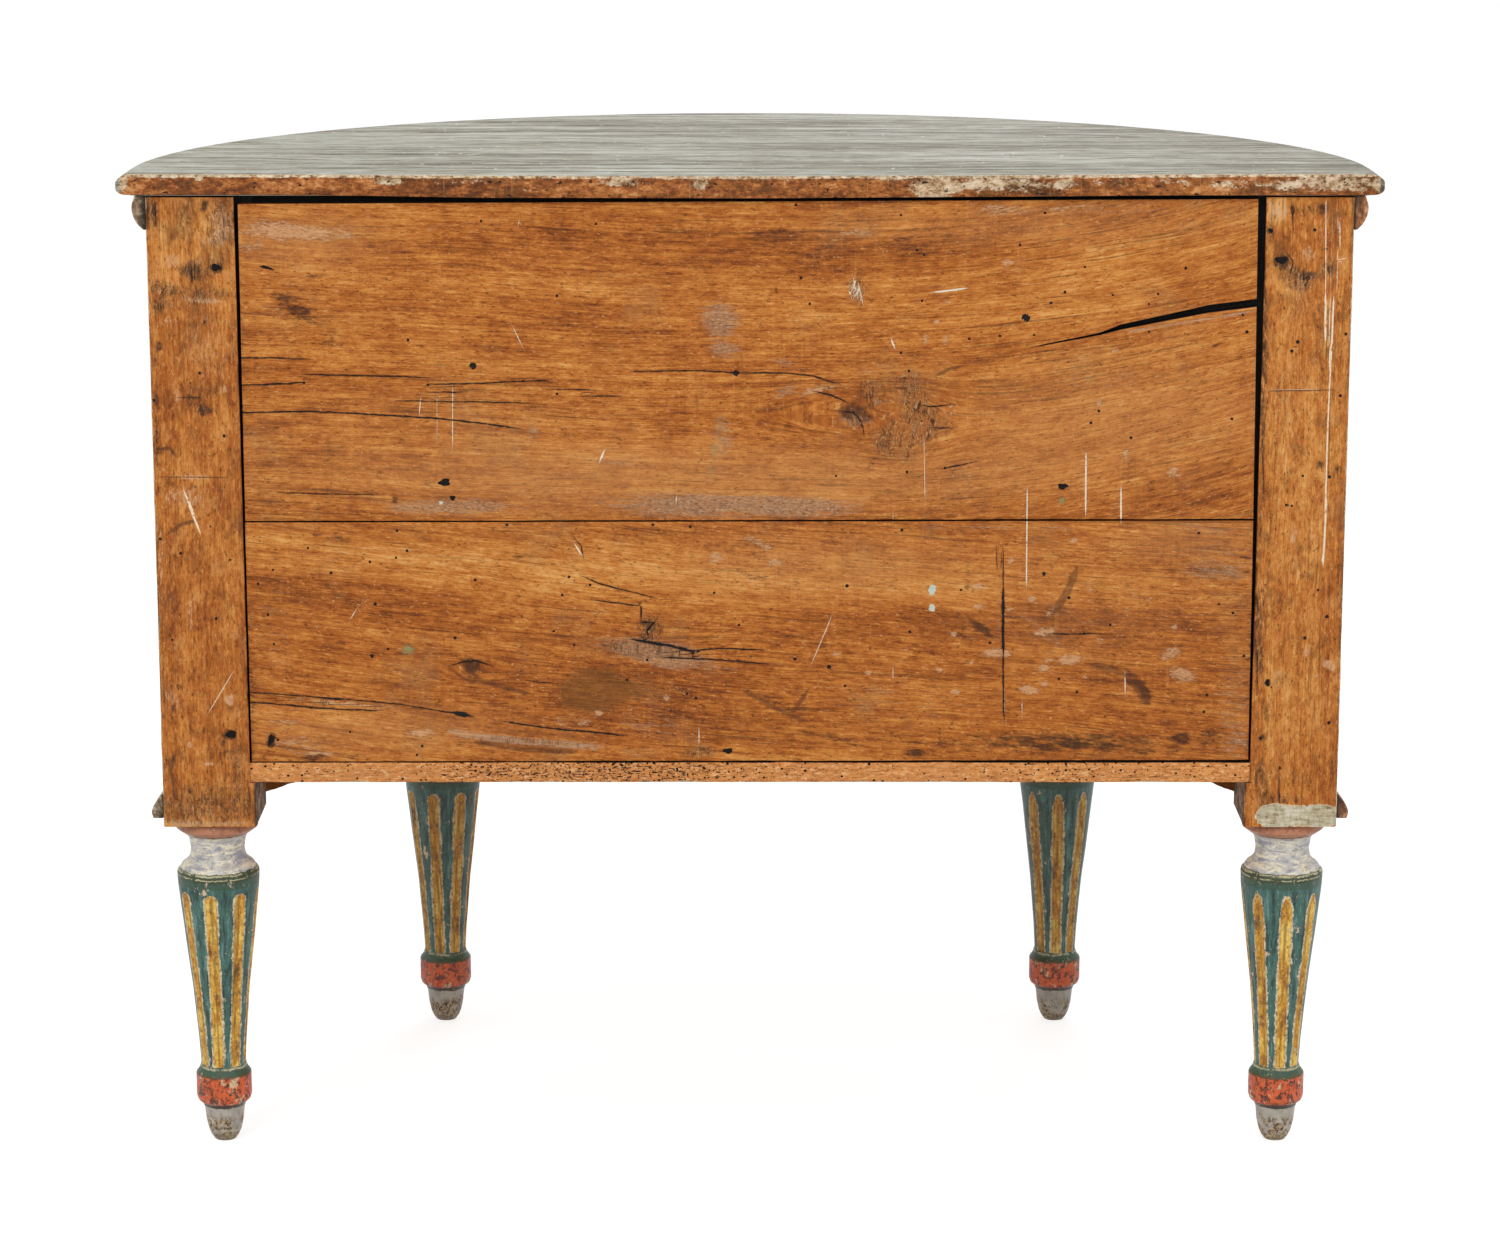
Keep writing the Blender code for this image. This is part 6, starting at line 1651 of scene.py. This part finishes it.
def bottom_board(material):
    """Bottom board with its worm-eaten rear edge."""
    low, high = FLOOR_BOARD_LOW, FLOOR_BOARD_HIGH
    half = high.x
    rear = high.y
    inside = -(PANEL_RECESS + PANEL_THICKNESS + FIT)
    first = angle_at_y(REAR_POST_FRONT_Y - FIT, inside)
    side = plan_curve(np.linspace(first, angle_at_x(FRONT_POST_OUTER_X), 40), inside)
    front_y = RAIL_INNER_Y - BOARD_LEDGE + FIT
    right = [(half, LEDGE_Y + FIT), (POST_INNER_X - FIT, LEDGE_Y + FIT),
             (POST_INNER_X - FIT, REAR_POST_FRONT_Y - FIT)]
    right += [tuple(point) for point in side if point[1] > POST_BACK[1] + 0.004]
    right += [(POST_BACK[0] + 0.001, POST_BACK[1] + FIT), (OPENING_HALF - FIT, POST_BACK[1] + FIT),
              (OPENING_HALF - FIT, front_y)]
    left = [(-x, y) for x, y in reversed(right)]
    edge = np.linspace((-half, rear), (half, rear), round(2 * half / FINEST) + 1)
    rings = extruded(np.concatenate([edge, right, left]), span(low.z, high.z, FINEST))
    flat = rings.reshape(-1, 3)
    x, y, z = flat.T
    face = y > rear - ON_PLANE
    plane = flat[:, (0, 2)]
    wormy = np.clip(blots(seen_at(flat), WORM_MARKS), 0.0, 1.0)
    pits = np.clip(noise(plane, (0.0036, 0.0026), 11) - 0.74 + 0.10 * wormy, 0, 1)
    edges = np.minimum(z - low.z, high.z - z)
    worn = np.clip(1 + rough_noise(plane, (0.03, 0.01), 14), 0.0, 2.0)
    depth = 0.0002 * worn + 0.006 * pits * np.clip(0.4 + noise(plane, (0.09, 0.05), 12), 0, 1)
    depth += 0.0009 * worn * np.exp(-edges / 0.0012)
    depth += 0.0022 * smooth_step(z, high.z - 0.0016, high.z)
    flat[:, 1] -= np.where(face, depth, 0.0)
    piece = loft("bottom_board.wood", rings)
    field(piece, "wormy", wormy)
    # How deep the edge is eaten, which its material paints black as painted shade
    field(piece, "eaten", np.where(face, np.clip(depth - 0.0016, 0, 1) / 0.0014, 0.0))
    dress(piece, material, ("bottom_board",))


# Corner blocks under the bottom board: reach inwards, height beside the post and at the tip,
# how far they are tucked in beside the post and where they begin and end from front to back
BLOCK_REACH = {"right": 0.028, "left": 0.024}
BLOCK_HEIGHT = 0.032
BLOCK_TIP_HEIGHT = 0.0205
BLOCK_TUCK = 0.005
BLOCK_Y = (0.178, 0.2025)


def corner_block(side, word, material):
    """Small sloping block between a rear post and the bottom board."""
    top = FLOOR_BOARD_LOW.z - 0.0005
    near = POST_STEP_X + BLOCK_TUCK
    far = POST_STEP_X - BLOCK_REACH[word]
    across = np.linspace(near, far, 14)
    underside = np.interp(across, (far, near), (top - BLOCK_TIP_HEIGHT, top - BLOCK_HEIGHT))
    rings = []
    for y in np.linspace(*BLOCK_Y, 10):
        depths = np.full(14, y)
        uneven = 0.0006 * rough_noise(np.column_stack([across, depths]), (0.01, 0.01), 71)
        lower = np.column_stack([side * across, depths, underside + uneven])
        upper = np.column_stack([side * across[::-1], depths, np.full(14, top)])
        rings.append(np.concatenate([lower, upper]))
    dress(loft(f"corner_block_{word}", rings), material)


# Legs: points down the dense outline, and the length of its softened corners
LEG_SAMPLES = 900
LEG_SOFTNESS = 0.0026


def leg_outline():
    """Radii and heights down a leg, softened as turned and painted wood is."""
    shares = np.array(LEG_PROFILE_SHARES)
    radii = shares[:, 0] * LEG_RADIUS
    heights = shares[:, 1] * (LEG_HEIGHT - FIT)
    lengths = np.concatenate([[0.0], np.cumsum(np.hypot(np.diff(radii), np.diff(heights)))])
    dense = np.linspace(0.0, lengths[-1], LEG_SAMPLES)
    step = dense[1] - dense[0]
    width = round(LEG_SOFTNESS / step)
    kernel = np.hanning(width + 2)[1:-1]
    kernel /= kernel.sum()
    padded = np.arange(-width, LEG_SAMPLES + width) * step
    radii = np.convolve(np.interp(padded, lengths, radii), kernel, "same")[width:-width]
    heights = np.convolve(np.interp(padded, lengths, heights), kernel, "same")[width:-width]
    slope = np.unwrap(np.arctan2(np.gradient(radii), np.gradient(heights)))
    bend = np.abs(np.gradient(slope)) / step
    density = 1 / 0.0024 + np.clip(bend * 3.0, 0, 1 / 0.0008)
    progress = np.concatenate([[0.0], np.cumsum((density[1:] + density[:-1]) / 2 * step)])
    wanted = np.interp(np.linspace(0, progress[-1], round(progress[-1])), progress, dense)
    return np.interp(wanted, dense, radii), np.interp(wanted, dense, heights)


def leg(name, place, turn, nose, material):
    """Turned and fluted leg: its columns of points run along the edges of the flutes."""
    radii, heights = leg_outline()
    foot = FLUTE_FOOT_SHARE * LEG_HEIGHT
    head = FLUTE_TOP_SHARE * LEG_HEIGHT
    fluted = (heights >= foot) & (heights <= head)
    rise = np.clip((heights - foot) / (head - foot), 0.0, 1.0)
    half = FLUTE_FOOT_HALF_WIDTH + (FLUTE_TOP_HALF_WIDTH - FLUTE_FOOT_HALF_WIDTH) * rise
    to_head = np.clip((head - heights) / nose, 0.0, 1.0)
    half = half * np.sqrt(1 - (1 - to_head) ** 2) if nose < 0.010 else half * to_head ** 0.7
    half = np.where(fluted, half, 0.0)
    pitch = 2 * math.pi / FLUTE_COUNT
    even = 0.25 * pitch * radii
    free = np.maximum(smooth_step(heights, head, head + 0.012),
                      smooth_step(-heights, -foot + 0.001, -foot + 0.008))
    grid_half = np.maximum(half, 0.0003 + even * free)
    inside = np.linspace(-1.0, 1.0, 11)
    outside = np.linspace(0.0, 1.0, 8)[1:-1]
    first = (grid_half / radii)[:, None]
    angles = []
    for index in range(FLUTE_COUNT):
        angles.append(index * pitch + inside * first)
        angles.append(index * pitch + first + outside * (pitch - 2 * first))
    angles = np.concatenate(angles, axis=1)
    offset = np.mod(angles + pitch / 2, pitch) - pitch / 2
    from_axis = np.abs(offset) * radii[:, None]
    shape = np.clip(1 - (from_axis / np.maximum(half, 0.00001)[:, None]) ** 2, 0.0, 1.0)
    deep = FLUTE_DEPTH * np.clip(half / FLUTE_FOOT_HALF_WIDTH, 0.0, 1.0)
    turned = angles + math.radians(turn)
    levels = np.repeat(heights[:, None], turned.shape[1], 1)
    around = np.stack([np.cos(turned) * 0.035, np.sin(turned) * 0.035, levels], axis=-1)
    seed = int(turn)
    uneven = rough_noise(around, (0.02, 0.02, 0.03), seed) * 0.00018 - 0.0002
    radius = radii[:, None] - deep[:, None] * shape ** 0.75 + uneven
    rings = np.stack([place[0] + radius * np.cos(turned), place[1] + radius * np.sin(turned),
                      levels], axis=-1)
    piece = loft(name + ".paint", rings, sharp=50)
    signed = np.where(fluted[:, None], half[:, None] - from_axis, -0.01)
    field(piece, "flute", signed.ravel())
    dress(piece, material, (name,))


def rounded(shares):
    """Outline with the corners marked as round replaced by curves."""
    points = []
    for index, (out, up, is_round) in enumerate(shares):
        here = np.array([out, up])
        if not is_round:
            points.append(here)
            continue
        before = (here + np.array(shares[index - 1][:2])) / 2
        after = (here + np.array(shares[(index + 1) % len(shares)][:2])) / 2
        for share in np.linspace(0.0, 1.0, 6):
            points.append(before * (1 - share) ** 2 + here * 2 * share * (1 - share)
                          + after * share ** 2)
    return np.array(points)


# How bare the wood is at a moulding's rear end
BARE_ENDS = {"cornice_moulding_left": 0.92, "base_moulding_left": 0.88}


def moulding(name, angles, shares, projection, low, high, material):
    """Length of moulding along the plan, its section carried round the curve."""
    outline = rounded(shares)
    rings = []
    for angle in angles:
        near, outward = facing(angle, 0.01)
        if angle in (0.0, math.pi):
            outward = np.array([math.copysign(1.0, near[0]), 0.0])
        flat = near + (FIT + outline[:, :1] * projection) * outward
        rings.append(np.column_stack([flat, low + outline[:, 1] * (high - low)]))
    piece = loft(name + ".paint", rings, sharp=60)
    points = places(piece)
    end = smooth_step(points[:, 1], REAR_Y - 0.004, REAR_Y - 0.0005)
    field(piece, "worn", 0.02 + 0.10 * end)
    field(piece, "painted", np.ones(len(points)))
    bare_end = BARE_ENDS.get(name, 0.0)
    field(piece, "crust", end * (0.95 - bare_end))
    field(piece, "bare", end * bare_end)
    # Inner border at the rear end, painted black as the shade of the gap beside the post
    field(piece, "gap", np.tile(outline[:, 0] < 0.06, len(angles)) * end)
    dress(piece, material, (name,))


def mouldings(material):
    """Cornice and base moulding, each in three lengths that meet at the front posts."""
    joint = (angle_at_x(FRONT_POST_OUTER_X) + angle_at_x(OPENING_HALF)) / 2
    gap = FIT / BODY_HALF_WIDTH
    side = np.linspace(0.0, joint - gap, 110)
    middle = np.linspace(joint + gap, math.pi - joint - gap, 110)
    lengths = {"right": side, "front": middle, "left": math.pi - side[::-1]}
    for word, angles in lengths.items():
        moulding(f"cornice_moulding_{word}", angles, CORNICE_SHARES, CORNICE_PROJECTION,
                 CORNICE_LOW.z, CORNICE_HIGH.z, material)
        moulding(f"base_moulding_{word}", angles, BASE_SHARES, BASE_PROJECTION,
                 BASE_LOW.z, BASE_HIGH.z, material)


def bowed(node, outer, inner, levels, material, body="carcass"):
    """Upright piece with a painted outer face that follows the plan and a bare inner one."""
    piece = loft(f"{node}.paint", extruded(np.concatenate([outer, inner]), levels))
    painted = np.concatenate([np.ones(len(outer)), np.zeros(len(inner))])
    points = places(piece)
    field(piece, "painted", np.tile(painted, len(levels)))
    for name in ("crust", "bare", "gap"):
        field(piece, name, np.zeros(len(points)))
    ends = np.minimum(points[:, 2] - levels[0], levels[-1] - points[:, 2])
    field(piece, "worn", 0.10 * np.exp(-ends / 0.004))
    dress(piece, material, (node,), body)
    return piece


def straight(first, last):
    """Points between two, without the first."""
    first = np.array(first, float)
    last = np.array(last, float)
    count = max(1, round(float(np.linalg.norm(last - first)) / COARSE))
    return first + (last - first) * np.arange(1, count + 1)[:, None] / count


SIDE_RAIL_THICKNESS = 0.040


def sides(side, word, material):
    """Painted panel, rails and front post of one side."""
    mirror = np.array([side, 1.0])
    rear_angle = angle_at_y(REAR_POST_FRONT_Y - FIT)
    post_angle = angle_at_x(FRONT_POST_OUTER_X)
    open_angle = angle_at_x(OPENING_HALF)
    run = np.linspace(rear_angle, post_angle - FIT / BODY_HALF_WIDTH, 70)
    outer = plan_curve(run, -PANEL_RECESS)
    inner = plan_curve(run[::-1], -PANEL_RECESS - PANEL_THICKNESS)
    bowed(f"side_panel_{word}", outer * mirror, inner * mirror,
          span(PANEL_LOW.z, PANEL_HIGH.z, COARSE), material)
    for node in (f"side_top_rail_{word}", f"side_bottom_rail_{word}"):
        low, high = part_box(node)
        outer = plan_curve(run)
        inner = plan_curve(run[::-1], -SIDE_RAIL_THICKNESS)
        bowed(node, outer * mirror, inner * mirror, span(low.z, high.z, COARSE), material)
    outer = plan_curve(np.linspace(post_angle, open_angle, 24))
    inner = np.concatenate([straight(outer[-1], (OPENING_HALF, POST_BACK[1])), [POST_BACK],
                            straight(POST_BACK, outer[0])[:-1]])
    bowed(f"front_post_{word}", outer * mirror, inner * mirror,
          span(FRONT_POST_LOW.z, FRONT_POST_HIGH.z, COARSE), material)


def front_run(half_width, offset=0.0):
    """Plan points across the front, from right to left."""
    first = angle_at_x(half_width, offset)
    return plan_curve(np.linspace(first, math.pi - first, 120), offset)


# Drawer fronts: how far their ends lie in, and the distance between their rings
DRAWER_END_INSET = 0.0004
DRAWER_STEP = 0.0040

# Ochre line of the drawer fronts: how far it is from the edge, and its half width
LINING_INSET = 0.024
LINING_HALF_WIDTH = 0.0022


def front(material, lined):
    """Rails across the front and the two bowed drawer fronts."""
    half = OPENING_HALF - FIT
    for node in ("top_rail_front", "mid_rail_front", "bottom_rail_front"):
        low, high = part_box(node)
        outer = front_run(half)
        inner = np.array([(-half, RAIL_INNER_Y), (half, RAIL_INNER_Y)])
        levels = span(low.z, high.z, COARSE)
        if node == "bottom_rail_front":
            inner[:, 1] -= BOARD_LEDGE
        bowed(node, outer, inner, levels, material)
    for word in ("upper", "lower"):
        low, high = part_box(f"{word}_drawer_front")
        half = DRAWER_HALF - DRAWER_END_INSET
        outer = front_run(half)
        inner = front_run(half, -DRAWER_FRONT_THICKNESS)[::-1]
        levels = span(low.z, high.z, DRAWER_STEP)
        piece = bowed(f"{word}_drawer_front", outer, inner, levels, lined, f"{word}_drawer")
        x, _, z = places(piece).T
        to_edge = np.minimum(half - np.abs(x), np.minimum(z - low.z, high.z - z))
        lining = np.zeros((len(x), 3))
        lining[:, 0] = to_edge - LINING_INSET
        lining[:, 1] = LINING_HALF_WIDTH
        field(piece, "lining", lining)


def knobs(material):
    """Turned knobs of the drawers."""
    shares = np.array(KNOB_SHARES)
    steps = np.linspace(0, len(shares) - 1, 60)
    radii = np.interp(steps, range(len(shares)), shares[:, 0]) * KNOB_RADIUS
    lifts = np.interp(steps, range(len(shares)), shares[:, 1]) * KNOB_PROJECTION + FIT
    turns = np.linspace(0.0, 2 * math.pi, 48, endpoint=False)
    near, outward = facing(angle_at_x(KNOB_X), 0.02)
    for word in ("upper", "lower"):
        low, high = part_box(f"{word}_drawer_front")
        for side, hand in SIDES:
            start = np.array([near[0] * side, near[1], (low.z + high.z) / 2])
            out = np.array([outward[0] * side, outward[1], 0.0])
            across = np.array([-out[1], out[0], 0.0])
            up = np.array([0.0, 0.0, 1.0])
            circle = np.cos(turns)[:, None] * across + np.sin(turns)[:, None] * up
            rings = [start + lift * out + radius * circle for radius, lift in zip(radii, lifts)]
            name = f"{word}_knob_{hand}"
            knob = loft(name + ".brass", rings, sharp=60)
            dress(knob, material, (name,), f"{word}_drawer")


# Room

FLOOR_REACH = 30.0
FLOOR_GLOW = 0.74
WORLD_STRENGTH = 0.62

# Lamps: place, size and power
LAMPS = {
    "key": ((1.6, 3.2, 2.6), 1.6, 40.0), "fill": ((-1.9, 3.0, 2.2), 1.8, 28.0),
    "front": ((-0.6, -3.0, 2.2), 2.0, 26.0), "over": ((0.0, 0.4, 3.2), 2.2, 5.0),
}
LAMP_AIM = (0.0, 0.0, 0.5)


def seen_rays(nodes, links):
    """1 for rays from the camera and for those passed on by a shiny or clear thing, else 0."""
    path = nodes.new("ShaderNodeLightPath").outputs
    seen = path["Is Camera Ray"]
    for ray in ("Is Glossy Ray", "Is Transmission Ray"):
        either = nodes.new("ShaderNodeMath")
        either.operation = "MAXIMUM"
        links.new(seen, either.inputs[0])
        links.new(path[ray], either.inputs[1])
        seen = either.outputs[0]
    return seen


def lay_floor():
    """Pale floor, white to the camera except for the chest's shadow."""
    mesh = bpy.data.meshes.new("floor")
    signs = ((-1, -1), (1, -1), (1, 1), (-1, 1))
    corners = [(x * FLOOR_REACH, y * FLOOR_REACH, 0) for x, y in signs]
    mesh.from_pydata(corners, [], [(0, 1, 2, 3)])
    floor = placed("floor", mesh)
    tree = Tree("floor")
    seen = seen_rays(tree.nodes, tree.links)
    tree.feed(tree.shader.inputs["Base Color"], tree.blend((222, 222, 222), (178, 178, 178), seen))
    tree.feed(tree.shader.inputs["Roughness"], 1.0)
    tree.feed(tree.shader.inputs["Specular IOR Level"], 0.0)
    tree.feed(tree.shader.inputs["Emission Color"], (1.0, 1.0, 1.0, 1.0))
    tree.feed(tree.shader.inputs["Emission Strength"], tree.times(seen, FLOOR_GLOW))
    mesh.materials.append(tree.material)


def light_world():
    """World that is white to the camera and to what shines, and lights the chest less."""
    world = bpy.data.worlds.new("studio")
    bpy.context.scene.world = world
    world.use_nodes = True
    nodes = world.node_tree.nodes
    links = world.node_tree.links
    strength = nodes.new("ShaderNodeMapRange")
    strength.inputs["To Min"].default_value = WORLD_STRENGTH
    strength.inputs["To Max"].default_value = 1.0
    links.new(seen_rays(nodes, links), strength.inputs["Value"])
    background = nodes["Background"]
    background.inputs["Color"].default_value = (1.0, 1.0, 1.0, 1.0)
    links.new(strength.outputs[0], background.inputs["Strength"])


def hang_lamps():
    """Soft lamps, all aimed at the middle of the chest."""
    for name, (place, size, power) in LAMPS.items():
        light = bpy.data.lights.new(name, "AREA")
        light.size = size
        light.energy = power
        lamp = placed(name, light)
        lamp.location = place
        aim = Vector(LAMP_AIM) - lamp.location
        lamp.rotation_euler = aim.to_track_quat("-Z", "Y").to_euler()


def set_camera():
    """Camera at the photograph's place."""
    lens = bpy.data.cameras.new("camera")
    lens.sensor_width = SENSOR_WIDTH
    lens.lens = FOCAL_PIXELS * SENSOR_WIDTH / IMAGE_WIDTH_PIXELS
    lens.clip_end = 100.0
    viewer = placed("camera", lens)
    viewer.location = CAMERA_PLACE
    viewer.rotation_euler = (math.pi / 2 - CAMERA_PITCH, 0.0, math.pi)
    bpy.context.scene.camera = viewer
    bpy.context.scene.view_settings.view_transform = "Standard"


# The chest

def build():
    """Dresses the frame and makes the pieces that stand for its nodes."""
    boards = board_pine()
    back_board("back_board_upper", UPPER_CORNERS, 1, boards, (UPPER_LIP, LOWER_LIP))
    back_board("back_board_lower", LOWER_CORNERS, 2, boards)
    nails(iron())
    posts = post_pine()
    # The corner blocks are tinted a much darker brown than the other inner pine
    blocks = inner_pine("old_pine_block", (1, 2, 0), (74, 44, 24), 0.66)
    paint = body_paint("body_paint")
    for side, word in SIDES:
        rear_post(side, word, posts)
        corner_block(side, word, blocks)
        sides(side, word, paint)
    top_board(top_paint())
    bottom_board(edge_pine())
    painted_leg = leg_paint()
    for name, (turn, nose) in LEGS.items():
        place = REAR_LEG_PLACE if "rear" in name else FRONT_LEG_PLACE
        side = 1 if "right" in name else -1
        leg(name, (side * place[0], place[1]), turn, nose, painted_leg)
    mouldings(paint)
    front(paint, body_paint("body_paint_lined", True))
    knobs(brass())
    along = {"x": inner_pine("old_pine_x", (0, 2, 1)), "y": inner_pine("old_pine_y", (1, 2, 0))}
    for name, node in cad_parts.items():
        if not node.hide_render:
            low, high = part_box(name)
            direction = "x" if high.x - low.x > high.y - low.y else "y"
            node.data.materials.clear()
            node.data.materials.append(along[direction])


build()
lay_floor()
light_world()
hang_lamps()
set_camera()
